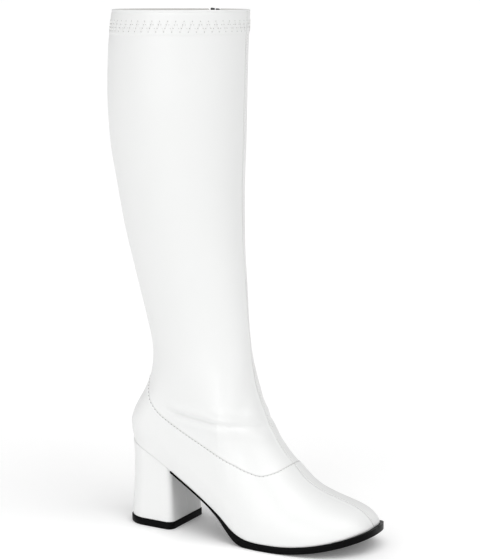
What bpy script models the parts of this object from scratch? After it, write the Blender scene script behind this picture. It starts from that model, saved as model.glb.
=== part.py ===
"""Right go go boot: a tall stretch shaft over a panelled foot, on a covered block heel.

Sizes are in millimetres. Stations run forward from the back edge of the heel tip, heights
run up from the floor, and a half width is measured from the boot's own centre line. The
lateral side is -Y and the medial side, with the zip, is +Y.
"""
import math

import bmesh
import bpy
import numpy as np
from mathutils import Matrix, Vector

MM = 0.001
HEEL_CENTRE = 24.0          # station of the part's origin, under the middle of the heel tip
GAP = 0.3                   # room between two pieces that touch
LATERAL, MEDIAL = -1, 1

# Upper
WALL = 1.6                  # stretch coated fabric with its lining
PANEL_STEP = 0.7            # the foot panel lies over the shaft by its own thickness
HEM_DEPTH, HEM_STEP = 20.0, 0.5
SEAM_RIDGE = 0.5            # the closed centre seam stands proud of the panels
RIDGE_HALF, RIDGE_FOOT = 1.8, 2.4
COLLAR_HEIGHT = 448.0
ANKLE_HEIGHT = 175.0        # above this every section is level
TOE_STATION = 223.8         # tip of the upper
BELLY_RISE = 22.0           # the wall leans out above the sole over this height
HEEL_ROUND = 24.0           # depth over which the back of the heel closes
HEEL_POWER = 2.3
FOOT_TOP, LEG_BOTTOM = 95.0, 165.0      # between these heights the foot turns into the leg
VAMP_POWER = 2.08

# Sole
SOLE_LENGTH = 227.8
BALL_STATION = 153.5
TOE_POWER, TOE_SIDE_POWER = 2.8, 2.4
SOLE_LEDGE = 1.5            # the sole shows this much beyond the upper at the ball
TOE_SPRING, SPRING_START, SPRING_POWER = 15.7, 150.0, 1.8
SWING, SWING_START, SWING_POWER = 13.5, 60.0, 1.6
SOLE_CHAMFER = 0.9
INSOLE_THICKNESS = 3.0
INSOLE_INSET, INSOLE_LEAN = 2.2, 1.4    # clear of the wall, which leans in over the toe

# Heel
LIFT_THICKNESS = 6.0
LIFT_BACK, LIFT_BREAST, LIFT_HALF = -1.0, 49.3, 27.6
HEEL_SHIFT = -1.0           # the heel stands a little to the lateral side
HEEL_CORNER, HEEL_BACK_CORNER = 6.0, 20.0
BREAST_STATION = 48.0

# Zip
ZIP_SHARE = 0.5             # place of the zip along the medial half, front to back
CHANNEL_HALF, CHANNEL_SLOPE, CHANNEL_DEPTH = 4.5, 0.3, 0.9
CHAIN_HALF, COIL_HALF, COIL_FOOT, COIL_RISE = 4.2, 1.3, 1.7, 0.7
CHAIN_TOP = 446.0
SLIDER_HEIGHT = 438.0
SLIDER_LENGTH, SLIDER_SHOULDER, SLIDER_TAIL = 9.0, 3.8, 2.8
SLIDER_BASE, SLIDER_TOP = 1.0, 2.4      # distances out from the shaft's surface
BRIDGE_HALF, BRIDGE_REACH, BRIDGE_LEG, BRIDGE_TOP = 0.9, 3.0, 1.1, 5.3
PULL_AXIS = 3.6             # the pull's pin, out from the shaft's surface
PULL_THICKNESS, PULL_HALF, PULL_WINDOW = 1.1, 2.3, 1.25
PULL_LENGTH, PULL_END_HALF, PULL_WINDOW_END = 21.0, 3.0, 4.5

# Upper seen from the side, below the leg: where its front ridge lies at each height
RIDGE_COLUMNS = ("height", "front")
RIDGE = (
    (19.7, 223.8),
    (23.0, 221.9),
    (29.0, 217.2),
    (34.0, 210.6),
    (37.5, 202.5),
    (41.0, 191.5),
    (45.8, 177.6),
    (50.8, 167.3),
    (57.2, 159.0),
    (67.0, 150.0),
    (80.0, 138.6),
    (90.0, 131.8),
    (100.0, 126.2),
    (110.0, 121.7),
    (120.0, 118.0),
)

# Back of the heel, from the seat to the ankle
COUNTER_COLUMNS = ("height", "back")
COUNTER = (
    (60.0, 1.6),
    (77.0, 0.6),
    (84.0, -0.5),
    (92.0, -0.8),
    (100.0, 1.4),
    (110.0, 6.2),
    (120.0, 11.9),
)

# Leg, as level sections
LEG_COLUMNS = ("height", "front", "back", "half_width")
LEG = (
    (130.0, 114.6, 15.9, 33.2),
    (140.0, 112.5, 17.6, 33.5),
    (150.0, 110.8, 18.5, 33.5),
    (160.0, 109.6, 17.9, 33.6),
    (180.0, 107.3, 14.1, 35.0),
    (220.0, 103.4, 4.2, 40.0),
    (260.0, 100.4, -5.2, 46.0),
    (300.0, 99.4, -12.6, 51.0),
    (340.0, 100.0, -18.2, 55.0),
    (380.0, 101.0, -20.3, 57.0),
    (415.0, 101.6, -18.6, 56.8),
    (448.0, 103.0, -14.0, 56.0),
)

# Last, from the heel seat to the ball: the feather line where upper and sole meet, the under
# side of the sole, the sole's half widths, and how far the upper leans out on each side
LAST_COLUMNS = ("station", "feather", "tread", "lateral", "medial", "belly_lateral", "belly_medial")
LAST = (
    (-4.0, 77.6, 76.0, 28.8, 27.2, 2.0, 2.2),
    (0.0, 76.4, 74.8, 28.8, 27.2, 2.0, 2.2),
    (10.0, 73.0, 71.4, 28.8, 27.0, 2.2, 2.6),
    (20.0, 68.8, 67.2, 28.7, 26.8, 2.5, 3.0),
    (30.0, 63.8, 62.2, 28.7, 26.4, 2.8, 3.6),
    (44.0, 55.8, 54.2, 28.8, 25.8, 3.2, 4.6),
    (60.0, 46.6, 45.0, 29.4, 25.2, 3.6, 5.8),
    (75.0, 37.6, 36.0, 30.4, 25.4, 3.8, 6.4),
    (87.0, 30.2, 28.5, 31.9, 26.6, 3.6, 6.2),
    (100.0, 21.8, 18.2, 34.4, 29.4, 3.2, 5.4),
    (106.0, 17.2, 11.8, 35.8, 31.4, 2.9, 4.8),
    (113.0, 12.2, 5.2, 37.4, 34.0, 2.6, 4.0),
    (119.0, 9.2, 1.6, 38.7, 36.3, 2.4, 3.4),
    (125.0, 7.3, 0.2, 39.8, 38.5, 2.2, 2.8),
    (128.0, 6.7, 0.0, 40.3, 39.4, 2.1, 2.6),
    (140.0, 6.0, 0.0, 41.8, 41.8, 1.8, 2.0),
    (153.5, 6.0, 0.0, 42.4, 42.4, 1.6, 1.7),
)

# Seam between the foot panel and the shaft, seen from the side
SEAM_COLUMNS = ("station", "height")
SEAM = (
    (17.0, 138.0),
    (22.0, 126.5),
    (28.0, 114.5),
    (37.5, 104.5),
    (52.8, 95.9),
    (65.5, 90.0),
    (92.0, 78.6),
    (112.0, 70.0),
    (126.0, 64.2),
    (137.0, 61.4),
    (146.0, 63.6),
    (152.0, 67.4),
    (200.0, 80.0),
)

# Covered heel block: its back, breast and half width at each height
BLOCK_COLUMNS = ("height", "back", "breast", "half_width")
BLOCK = (
    (0.0, -0.6, 49.0, 27.2),
    (20.0, 0.0, 48.3, 26.5),
    (42.0, 1.4, 47.7, 26.1),
    (60.0, 1.6, 47.7, 26.2),
    (80.0, 0.6, 47.7, 26.6),
)


def table_curve(table, columns, along, wanted):
    """A smooth curve through one column of a table, which never overshoots its rows."""
    knots = np.array([row[columns.index(along)] for row in table])
    values = np.array([row[columns.index(wanted)] for row in table])
    return smooth_curve(knots, values)


def smooth_curve(knots, values):
    steps = np.diff(knots)
    slopes = np.diff(values) / steps
    tangents = np.zeros(len(knots))
    tangents[0], tangents[-1] = slopes[0], slopes[-1]
    for i in range(1, len(knots) - 1):
        if slopes[i - 1] * slopes[i] > 0:
            before = 2 * steps[i] + steps[i - 1]
            after = steps[i] + 2 * steps[i - 1]
            tangents[i] = (before + after) / (before / slopes[i - 1] + after / slopes[i])

    def value(at):
        at = np.clip(at, knots[0], knots[-1])
        i = np.clip(np.searchsorted(knots, at, side="right") - 1, 0, len(steps) - 1)
        t = (at - knots[i]) / steps[i]
        start = values[i] * (2 * t**3 - 3 * t**2 + 1) + tangents[i] * steps[i] * (t**3 - 2 * t**2 + t)
        end = values[i + 1] * (3 * t**2 - 2 * t**3) + tangents[i + 1] * steps[i] * (t**3 - t**2)
        return start + end

    return value


def joined_profile(low_table, low_columns, wanted):
    """The front or back of the upper at any height, from the foot's table and the leg's."""
    heights = [row[0] for row in low_table] + [row[0] for row in LEG]
    column = LEG_COLUMNS.index(wanted)
    values = [row[low_columns.index(wanted)] for row in low_table] + [row[column] for row in LEG]
    return smooth_curve(np.array(heights), np.array(values))


front = joined_profile(RIDGE, RIDGE_COLUMNS, "front")
back = joined_profile(COUNTER, COUNTER_COLUMNS, "back")
leg_half = table_curve(LEG, LEG_COLUMNS, "height", "half_width")
last_feather = table_curve(LAST, LAST_COLUMNS, "station", "feather")
last_tread = table_curve(LAST, LAST_COLUMNS, "station", "tread")
last_half = {
    LATERAL: table_curve(LAST, LAST_COLUMNS, "station", "lateral"),
    MEDIAL: table_curve(LAST, LAST_COLUMNS, "station", "medial"),
}
last_belly = {
    LATERAL: table_curve(LAST, LAST_COLUMNS, "station", "belly_lateral"),
    MEDIAL: table_curve(LAST, LAST_COLUMNS, "station", "belly_medial"),
}
seam_height = table_curve(SEAM, SEAM_COLUMNS, "station", "height")

# The ridge's height at a station is the front profile read the other way round
LEG_FRONT_HEIGHT = 300.0
ridge_heights = np.linspace(RIDGE[0][0], LEG_FRONT_HEIGHT, 3000)
ridge_stations = front(ridge_heights)
BEHIND_LEG_FRONT = -60.0
BEHIND_LEG_HEIGHT = 3000.0


def ridge(station):
    """Height of the upper's centre ridge at a station; far overhead behind the leg's front."""
    stations = np.concatenate(([BEHIND_LEG_FRONT], ridge_stations[::-1]))
    heights = np.concatenate(([BEHIND_LEG_HEIGHT], ridge_heights[::-1]))
    return np.interp(station, stations, heights)


def spring(station):
    """How far the toe of the sole rises off the floor."""
    reach = np.clip((station - SPRING_START) / (SOLE_LENGTH - SPRING_START), 0, None)
    return TOE_SPRING * reach**SPRING_POWER


def feather(station):
    """Height of the line where the upper meets the sole."""
    return last_feather(station) + spring(station)


def tread(station):
    """Height of the under side of the sole."""
    return last_tread(station) + spring(station)


def swing(station):
    """The foot's own centre line curves to the medial side towards the toe."""
    reach = np.clip((station - SWING_START) / (SOLE_LENGTH - SWING_START), 0, None)
    return SWING * reach**SWING_POWER


def toe_share(station, tip):
    """Width left at a station in front of the ball, as a share of the ball's."""
    reach = np.clip((station - BALL_STATION) / (tip - BALL_STATION), 0, 1)
    return (1 - reach**TOE_POWER) ** (1 / TOE_SIDE_POWER)


def sole_half(station, side):
    return last_half[side](station) * toe_share(station, SOLE_LENGTH)


def feather_half(station, side):
    """Half width of the upper where it meets the sole."""
    return (last_half[side](station) - SOLE_LEDGE) * toe_share(station, TOE_STATION)


def leg_share(height):
    """0 on the foot, 1 on the leg."""
    t = np.clip((height - FOOT_TOP) / (LEG_BOTTOM - FOOT_TOP), 0, 1)
    return t * t * (3 - 2 * t)


def upper_half(station, height, side):
    """Half width of the upper's outside at a station, a height and a side."""
    rise = np.clip(height - feather(station) - GAP, 0, None)
    room = np.clip(ridge(station) - feather(station) - GAP, 1e-6, None)
    lean = last_belly[side](station) * toe_share(station, TOE_STATION)
    foot = feather_half(station, side) + lean * np.sin(np.pi / 2 * np.clip(rise / BELLY_RISE, 0, 1))
    foot *= np.sqrt(1 - np.clip(rise / room, 0, 1) ** VAMP_POWER)
    from_back = np.clip(station - back(height), 0, HEEL_ROUND)
    foot *= np.clip(1 - (1 - from_back / HEEL_ROUND) ** HEEL_POWER, 0, 1) ** (1 / HEEL_POWER)
    middle = (front(height) + back(height)) / 2
    reach = (front(height) - back(height)) / 2
    leg = leg_half(height) * np.sqrt(np.clip(1 - ((station - middle) / reach) ** 2, 0, 1))
    share = leg_share(height)
    return foot * (1 - share) + leg * share


def solve(function, low, high):
    """Where a function that falls from positive to negative is zero."""
    for _ in range(50):
        middle = (low + high) / 2
        if function(middle) > 0:
            low = middle
        else:
            high = middle
    return (low + high) / 2


DENSE = np.linspace(0, 1, 500)


def half_ring(level, side):
    """One side of a section whose height follows level(station), from front to back."""
    tip = solve(lambda s: front(level(s)) - s, 60.0, TOE_STATION)
    heel = solve(lambda s: back(level(s)) - s, -40.0, 60.0)
    stations = heel + (tip - heel) * (1 + np.cos(math.pi * DENSE)) / 2
    heights = level(stations)
    halves = upper_half(stations, heights, side)
    halves[0] = halves[-1] = 0.0
    centres = swing(stations) * (1 - leg_share(heights))
    points = np.column_stack((stations, centres + side * halves, heights))
    steps = np.linalg.norm(np.diff(points, axis=0), axis=1)
    return points, np.concatenate(([0.0], np.cumsum(steps)))


def at_arc(points, arc, distance):
    return np.column_stack([np.interp(distance, arc, points[:, axis]) for axis in range(3)])


SIDE_STEPS = 26
CROWDING = 0.06             # columns stand closer at the toe and the heel than along the waist


def column_arcs(length, side):
    """Distances along one side of a ring, front to back, and what each column carries."""
    shares = np.arange(SIDE_STEPS + 1) / SIDE_STEPS
    shares = shares - CROWDING * np.sin(2 * np.pi * shares)
    arcs = [(share * length, "plain") for share in shares]
    arcs[0] = (0.0, "ridge")
    arcs += [(RIDGE_HALF, "ridge"), (RIDGE_FOOT, "plain")]
    if side == MEDIAL:
        centre = ZIP_SHARE * length
        arcs = [pair for pair in arcs if abs(pair[0] - centre) > CHANNEL_HALF + CHANNEL_SLOPE]
        edge = CHANNEL_HALF + CHANNEL_SLOPE
        arcs += [(centre + offset, "channel") for offset in (-CHANNEL_HALF, 0.0, CHANNEL_HALF)]
        arcs += [(centre - edge, "plain"), (centre + edge, "plain")]
    return sorted(arcs)


def full_ring(level):
    """A closed section: front, lateral side, back, medial side."""
    points, arc = half_ring(level, LATERAL)
    columns = column_arcs(arc[-1], LATERAL)
    lateral = at_arc(points, arc, [pair[0] for pair in columns])
    points, arc = half_ring(level, MEDIAL)
    medial_columns = column_arcs(arc[-1], MEDIAL)
    medial = at_arc(points, arc, [pair[0] for pair in medial_columns])
    ring = np.vstack((lateral, medial[-2:0:-1]))
    kinds = [pair[1] for pair in columns] + [pair[1] for pair in medial_columns[-2:0:-1]]
    return ring, kinds


def foot_level(share):
    """A section between the feather line (0) and the panel seam (1)."""
    def level(station):
        low = feather(station) + GAP
        return low + share * (seam_height(station) - low)
    return level


def ankle_level(share):
    """A section between the panel seam (0) and the level ankle (1)."""
    def level(station):
        low = seam_height(station)
        return low + share * (ANKLE_HEIGHT - low)
    return level


def leg_level(height):
    def level(station):
        return height + 0 * np.asarray(station, float)
    return level


FOOT_SHARES = (0, 0.06, 0.14, 0.23, 0.33, 0.43, 0.53, 0.63, 0.73, 0.82, 0.91, 1)
ANKLE_SHARES = (0.12, 0.25, 0.4, 0.55, 0.7, 0.85)
LEG_HEIGHTS = (ANKLE_HEIGHT, 195, 220, 245, 270, 295, 320, 345, 370, 395, 412)
HEM_HEIGHTS = (COLLAR_HEIGHT - HEM_DEPTH, COLLAR_HEIGHT - HEM_DEPTH / 2, COLLAR_HEIGHT)
ZIP_FOOT_SHARE = 0.53


def upper_levels():
    levels = [foot_level(share) for share in FOOT_SHARES]
    levels += [ankle_level(share) for share in ANKLE_SHARES]
    levels += [leg_level(height) for height in LEG_HEIGHTS + HEM_HEIGHTS]
    return levels


def outward(rings):
    """Outward normal at each point of a stack of rings."""
    around = np.roll(rings, -1, axis=1) - np.roll(rings, 1, axis=1)
    up = np.gradient(rings, axis=0)
    normals = np.cross(up, around)
    return normals / np.linalg.norm(normals, axis=2, keepdims=True)


def to_part(points):
    return (np.asarray(points, float) - (HEEL_CENTRE, 0, 0)) * MM


def add_object(name, vertices, faces, material):
    """A named closed piece from vertices in metres, with its faces turned outwards."""
    mesh = bpy.data.meshes.new(name)
    mesh.from_pydata([tuple(vertex) for vertex in vertices], [], faces)
    shape = bmesh.new()
    shape.from_mesh(mesh)
    bmesh.ops.recalc_face_normals(shape, faces=shape.faces)
    shape.to_mesh(mesh)
    shape.free()
    mesh.materials.append(material)
    piece = bpy.data.objects.new(name, mesh)
    bpy.context.collection.objects.link(piece)
    return piece


def shade_round(piece, angle):
    piece.data.shade_smooth()
    piece.data.set_sharp_from_angle(angle=math.radians(angle))


def tube_faces(count, size, closed):
    """Faces of a stack of rings, each with the same number of points."""
    faces = []
    for k in range(count if closed else count - 1):
        upper = (k + 1) % count
        for i in range(size):
            after = (i + 1) % size
            faces.append((k * size + i, upper * size + i, upper * size + after, k * size + after))
    return faces


def make_material(name, colour, roughness, metallic=0.0):
    material = bpy.data.materials.new(name)
    material.use_nodes = True
    shader = material.node_tree.nodes["Principled BSDF"]
    shader.inputs["Base Color"].default_value = (*colour, 1)
    shader.inputs["Roughness"].default_value = roughness
    shader.inputs["Metallic"].default_value = metallic
    return material


def make_upper(material):
    """Foot and shaft as one hollow wall, open at the collar and over the sole."""
    levels = upper_levels()
    rings = [full_ring(level) for level in levels]
    kinds = rings[0][1]
    base = np.array([ring for ring, _ in rings])
    normals = outward(base)
    seam = len(FOOT_SHARES) - 1
    hem = len(levels) - len(HEM_HEIGHTS)
    zip_foot = FOOT_SHARES.index(ZIP_FOOT_SHARE)
    is_ridge = np.array([kind == "ridge" for kind in kinds])
    is_channel = np.array([kind == "channel" for kind in kinds])

    def outer_ring(k, step):
        relief = step + SEAM_RIDGE * is_ridge
        if k >= zip_foot:
            relief = np.where(is_channel, -CHANNEL_DEPTH, relief)
        return base[k] + normals[k] * relief[:, None]

    outer = []
    for k in range(len(levels)):
        if k <= seam:
            outer.append(outer_ring(k, PANEL_STEP))
        if k >= seam and k <= hem:
            outer.append(outer_ring(k, 0.0))
        if k >= hem:
            outer.append(outer_ring(k, HEM_STEP))
    last = len(levels) - 1
    inner_numbers = [k for k in range(last, -1, -1) if (last - k) % 2 == 0 or k in (0, seam)]
    inner = [base[k] - normals[k] * WALL for k in inner_numbers]
    inner[0][:, 2] = COLLAR_HEIGHT
    outer[-1][:, 2] = COLLAR_HEIGHT
    inner[-1][:, 2] = feather(inner[-1][:, 0]) + GAP
    outer[0][:, 2] = feather(outer[0][:, 0]) + GAP
    stack = np.array(outer + inner)
    points = stack.reshape(-1, 3)
    faces = tube_faces(len(stack), stack.shape[1], True)
    piece = add_object("upper", to_part(points), faces, material)
    shade_round(piece, 35)
    return piece


def outline_faces(loops, pairs, rear, tip):
    """Sides and caps of a solid. Each loop runs forward on the medial side and back on the
    lateral one, with pairs of points at the same station and single points at its ends.
    """
    size = 2 * pairs + rear + tip
    medial = [rear + i for i in range(pairs)]
    lateral = [size - 1 - i for i in range(pairs)]
    cap = [(medial[i], medial[i + 1], lateral[i + 1], lateral[i]) for i in range(pairs - 1)]
    if rear:
        cap.append((0, medial[0], lateral[0]))
    if tip:
        cap.append((medial[-1], rear + pairs, lateral[-1]))
    top = (loops - 1) * size
    faces = tube_faces(loops, size, False)
    faces += cap
    faces += [tuple(top + i for i in reversed(face)) for face in cap]
    return faces


def outline(stations, halves, centres, rear, tip):
    """Plan outline from half widths at each station, with its end points where it closes."""
    rows = []
    if rear:
        rows.append((stations[0], centres[0]))
    inside = range(int(rear), len(stations) - int(tip))
    rows += [(stations[i], centres[i] + halves[MEDIAL][i]) for i in inside]
    if tip:
        rows.append((stations[-1], centres[-1]))
    rows += [(stations[i], centres[i] - halves[LATERAL][i]) for i in reversed(inside)]
    return np.array(rows)


TOE_STEPS = 12
WAIST_STEPS = 7
TREAD_STATIONS = (95, 100, 104, 108, 113, 119, 125, 128, 134, 140, 147)


def toe_stations(tip):
    """Stations from the ball to the tip, closer together where the outline turns."""
    turns = np.sin(math.pi / 2 * np.arange(TOE_STEPS + 1) / TOE_STEPS) ** (2 / TOE_POWER)
    return BALL_STATION + (tip - BALL_STATION) * turns


def inset_share(stations, side, inset):
    return 1 - inset / last_half[side](stations)


def make_outsole(material):
    """Black sole from the heel breast to the toe, thin in the waist and thick at the tread."""
    waist = np.linspace(BREAST_STATION, TREAD_STATIONS[0], WAIST_STEPS)[:-1]
    loops = []
    for share, inset in ((0, SOLE_CHAMFER), (0.15, 0), (0.9, 0), (1, SOLE_CHAMFER * 0.6)):
        stations = np.concatenate((waist, TREAD_STATIONS, toe_stations(SOLE_LENGTH)))
        halves = {}
        for side in (LATERAL, MEDIAL):
            halves[side] = sole_half(stations, side) * inset_share(stations, side, inset)
        plan = outline(stations, halves, swing(stations), False, True)
        heights = tread(plan[:, 0]) + share * (feather(plan[:, 0]) - tread(plan[:, 0]))
        tip = plan[:, 0].argmax()
        plan[tip, 0] -= inset
        loops.append(np.column_stack((plan, heights)))
    faces = outline_faces(len(loops), len(stations) - 1, False, True)
    piece = add_object("outsole", to_part(np.vstack(loops)), faces, material)
    shade_round(piece, 30)


def make_insole(material):
    """Covered board inside the upper, on the sole and the heel seat."""
    level = foot_level(0)
    heel = solve(lambda s: back(level(s)) - s, -40.0, 60.0)
    turns = np.arange(1, 8) / 8
    rear = heel + HEEL_ROUND * (1 - np.cos(math.pi / 2 * turns))
    middle = np.concatenate((np.linspace(heel + HEEL_ROUND, 95, 7), TREAD_STATIONS[1::2]))
    stations = np.concatenate(([heel], rear, middle, toe_stations(TOE_STATION)))
    loops = []
    for rise, inset in ((0.0, INSOLE_INSET), (INSOLE_THICKNESS, INSOLE_INSET + INSOLE_LEAN)):
        halves = {}
        for side in (LATERAL, MEDIAL):
            halves[side] = upper_half(stations, level(stations), side)
            halves[side] = halves[side] * inset_share(stations, side, inset)
        plan = outline(stations, halves, swing(stations), True, True)
        middle_station = (heel + TOE_STATION) / 2
        ahead = plan[:, 0] > middle_station
        shrink = np.where(ahead, inset + INSOLE_LEAN, inset) / (TOE_STATION - middle_station)
        plan[:, 0] = middle_station + (plan[:, 0] - middle_station) * (1 - shrink)
        loops.append(np.column_stack((plan, level(plan[:, 0]) + rise)))
    faces = outline_faces(len(loops), len(stations) - 2, True, True)
    piece = add_object("insole", to_part(np.vstack(loops)), faces, material)
    shade_round(piece, 30)


ROUND_STEPS = 8
CORNER_STEPS = 3


def heel_plan(rear, breast, half):
    """D shape of the heel, as stations and half widths from the middle of its back."""
    turns = np.arange(ROUND_STEPS + 1) / ROUND_STEPS * math.pi / 2
    corner = np.arange(CORNER_STEPS + 1) / CORNER_STEPS * math.pi / 2
    back_round = rear + HEEL_BACK_CORNER * (1 - np.cos(turns))
    back_half = half - HEEL_BACK_CORNER * (1 - np.sin(turns))
    breast_round = breast - HEEL_CORNER * (1 - np.sin(corner))
    breast_half = half - HEEL_CORNER * (1 - np.cos(corner))
    stations = np.concatenate(([rear], back_round, breast_round))
    halves = np.concatenate(([0.0], back_half, breast_half))
    return stations, halves


BLOCK_SHARES = (0, 0.2, 0.4, 0.6, 0.8, 1)
HEIGHT_ROUNDS = 6


def make_heel_block(material):
    """Covered block: its top follows the heel seat, its foot is level."""
    low = LIFT_THICKNESS + GAP
    curves = [table_curve(BLOCK, BLOCK_COLUMNS, "height", name) for name in BLOCK_COLUMNS[1:]]
    count = ROUND_STEPS + CORNER_STEPS + 3
    loops = []
    for share in BLOCK_SHARES:
        heights = np.full(count, low)
        for _ in range(HEIGHT_ROUNDS):
            plans = [heel_plan(*(curve(height) for curve in curves)) for height in heights]
            stations = np.array([plans[i][0][i] for i in range(count)])
            widths = np.array([plans[i][1][i] for i in range(count)])
            heights = low + share * (feather(stations) - low)
        halves = {LATERAL: widths, MEDIAL: widths}
        plan = outline(stations, halves, 0 * stations + HEEL_SHIFT, True, False)
        ring = np.concatenate((heights, heights[:0:-1]))
        loops.append(np.column_stack((plan, ring)))
    faces = outline_faces(len(loops), count - 1, True, False)
    piece = add_object("heel_block", to_part(np.vstack(loops)), faces, material)
    shade_round(piece, 30)


def make_top_lift(material):
    """Black wearing piece under the heel block."""
    stations, widths = heel_plan(LIFT_BACK, LIFT_BREAST, LIFT_HALF)
    halves = {LATERAL: widths, MEDIAL: widths}
    plan = outline(stations, halves, 0 * stations + HEEL_SHIFT, True, False)
    loops = [np.column_stack((plan, np.full(len(plan), height))) for height in (0.0, LIFT_THICKNESS)]
    faces = outline_faces(len(loops), len(stations) - 1, True, False)
    piece = add_object("top_lift", to_part(np.vstack(loops)), faces, material)
    shade_round(piece, 30)


def zip_surface(levels, offsets):
    """Points and outward normals of the bare upper beside the zip's line, a row per level."""
    rows = []
    for level in levels:
        points, arc = half_ring(level, MEDIAL)
        rows.append(at_arc(points, arc, ZIP_SHARE * arc[-1] + np.array(offsets)))
    rows = np.array(rows)
    normals = np.cross(np.gradient(rows, axis=1), np.gradient(rows, axis=0))
    return rows, normals / np.linalg.norm(normals, axis=2, keepdims=True)


def make_zip_chain(material):
    """Coil and tapes, lying in the upper's channel."""
    offsets = (-CHAIN_HALF, -COIL_FOOT, -COIL_HALF, 0.0, COIL_HALF, COIL_FOOT, CHAIN_HALF)
    section = (
        (0, GAP - CHANNEL_DEPTH),
        (3, GAP - CHANNEL_DEPTH),
        (6, GAP - CHANNEL_DEPTH),
        (6, 0.0),
        (5, 0.0),
        (4, COIL_RISE),
        (2, COIL_RISE),
        (1, 0.0),
        (0, 0.0),
    )
    first = FOOT_SHARES.index(ZIP_FOOT_SHARE)
    levels = upper_levels()[first:-1] + [leg_level(CHAIN_TOP)]
    rows, normals = zip_surface(levels, offsets)
    points = [rows[k][i] + normals[k][i] * out for k in range(len(rows)) for i, out in section]
    size = len(section)
    faces = tube_faces(len(rows), size, False)
    last = (len(rows) - 1) * size
    faces += [tuple(range(size)), tuple(last + i for i in range(size))]
    piece = add_object("zip_chain", to_part(points), faces, material)
    shade_round(piece, 30)


def zip_frame(out):
    """Placement at the slider: across the zip, up the leg, and out from the shaft."""
    nudge = 1.0
    levels = [leg_level(SLIDER_HEIGHT + step) for step in (-nudge, 0, nudge)]
    rows, normals = zip_surface(levels, (-nudge, 0.0, nudge))
    normal = Vector(normals[1][1])
    up = Vector(rows[2][1] - rows[0][1])
    across = up.cross(normal).normalized()
    up = normal.cross(across).normalized()
    place = Vector(to_part(rows[1][1])) + normal * out * MM
    turn = Matrix((across, up, normal)).transposed().to_4x4()
    return Matrix.Translation(place) @ turn


def cell_solid(name, steps, filled, shape, material):
    """A solid made of the filled cells of a small grid, its corners moved by shape()."""
    numbers = {}
    vertices = []
    faces = []

    def vertex(key):
        if key not in numbers:
            numbers[key] = len(vertices)
            corner = [steps[axis][key[axis]] for axis in range(3)]
            vertices.append([value * MM for value in shape(*corner)])
        return numbers[key]

    for cell in filled:
        for axis in range(3):
            first, second = (axis + 1) % 3, (axis + 2) % 3
            for side in (0, 1):
                neighbour = list(cell)
                neighbour[axis] += 2 * side - 1
                if tuple(neighbour) in filled:
                    continue
                face = []
                for a, b in ((0, 0), (1, 0), (1, 1), (0, 1)):
                    key = list(cell)
                    key[axis] += side
                    key[first] += a
                    key[second] += b
                    face.append(vertex(tuple(key)))
                faces.append(tuple(face))
    piece = add_object(name, vertices, faces, material)
    bevel = piece.modifiers.new("soft edges", "BEVEL")
    bevel.width = 0.25 * MM
    bevel.segments = 1
    bevel.limit_method = "ANGLE"
    return piece


def make_zip_slider(material):
    """Slider body with the bridge that carries its pull."""
    half_length = SLIDER_LENGTH / 2
    bridge_top = BRIDGE_TOP - BRIDGE_LEG
    steps = (
        (-SLIDER_SHOULDER, -BRIDGE_HALF, BRIDGE_HALF, SLIDER_SHOULDER),
        (-half_length, -BRIDGE_REACH, BRIDGE_LEG - BRIDGE_REACH, BRIDGE_REACH - BRIDGE_LEG, BRIDGE_REACH, half_length),
        (SLIDER_BASE, SLIDER_TOP, bridge_top, BRIDGE_TOP),
    )
    filled = {(x, y, 0) for x in range(3) for y in range(5)}
    filled |= {(1, 1, 1), (1, 3, 1)}
    filled |= {(1, 1, 2), (1, 2, 2), (1, 3, 2)}

    def shape(x, y, z):
        if abs(x) > BRIDGE_HALF:
            share = (y + half_length) / SLIDER_LENGTH
            x *= (SLIDER_TAIL + (SLIDER_SHOULDER - SLIDER_TAIL) * share) / SLIDER_SHOULDER
        return x, y, z

    piece = cell_solid("zip_slider", steps, filled, shape, material)
    piece.matrix_world = zip_frame(0.0)


def make_zip_pull(material):
    """Pull tab, hung on its pin under the slider's bridge."""
    pin = PULL_THICKNESS / 2
    neck = -PULL_WINDOW_END - 1.5
    steps = (
        (-PULL_HALF, -PULL_WINDOW, PULL_WINDOW, PULL_HALF),
        (-PULL_LENGTH, -PULL_LENGTH + 2.5, -PULL_LENGTH + 6, neck, -PULL_WINDOW_END, -pin, pin),
        (-pin, pin),
    )
    filled = {(x, y, 0) for x in range(3) for y in range(6)}
    filled -= {(1, 4, 0), (1, 1, 0)}

    def shape(x, y, z):
        if y < neck:
            x *= PULL_END_HALF / PULL_HALF
        return x, y, z

    piece = cell_solid("zip_pull", steps, filled, shape, material)
    piece.matrix_world = zip_frame(PULL_AXIS)


def main():
    for piece in list(bpy.data.objects):
        bpy.data.objects.remove(piece, do_unlink=True)
    white = make_material("white stretch upper", (0.93, 0.93, 0.92), 0.35)
    cover = make_material("white heel cover", (0.92, 0.92, 0.91), 0.32)
    black = make_material("black sole rubber", (0.01, 0.01, 0.011), 0.25)
    lift = make_material("black top lift", (0.012, 0.012, 0.012), 0.4)
    sock = make_material("white insole cover", (0.86, 0.85, 0.83), 0.6)
    coil = make_material("white zip coil", (0.88, 0.88, 0.87), 0.45)
    slider = make_material("zip slider metal", (0.62, 0.62, 0.63), 0.28, 1.0)
    pull = make_material("zip pull metal", (0.62, 0.62, 0.63), 0.25, 1.0)
    make_upper(white)
    make_outsole(black)
    make_heel_block(cover)
    make_top_lift(lift)
    make_insole(sock)
    make_zip_chain(coil)
    make_zip_slider(slider)
    make_zip_pull(pull)


main()
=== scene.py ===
import math

import bmesh
import bpy
import numpy as np
from bpy.props import FloatProperty, FloatVectorProperty, PointerProperty
from mathutils import Matrix, Vector
from mathutils.bvhtree import BVHTree


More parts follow.
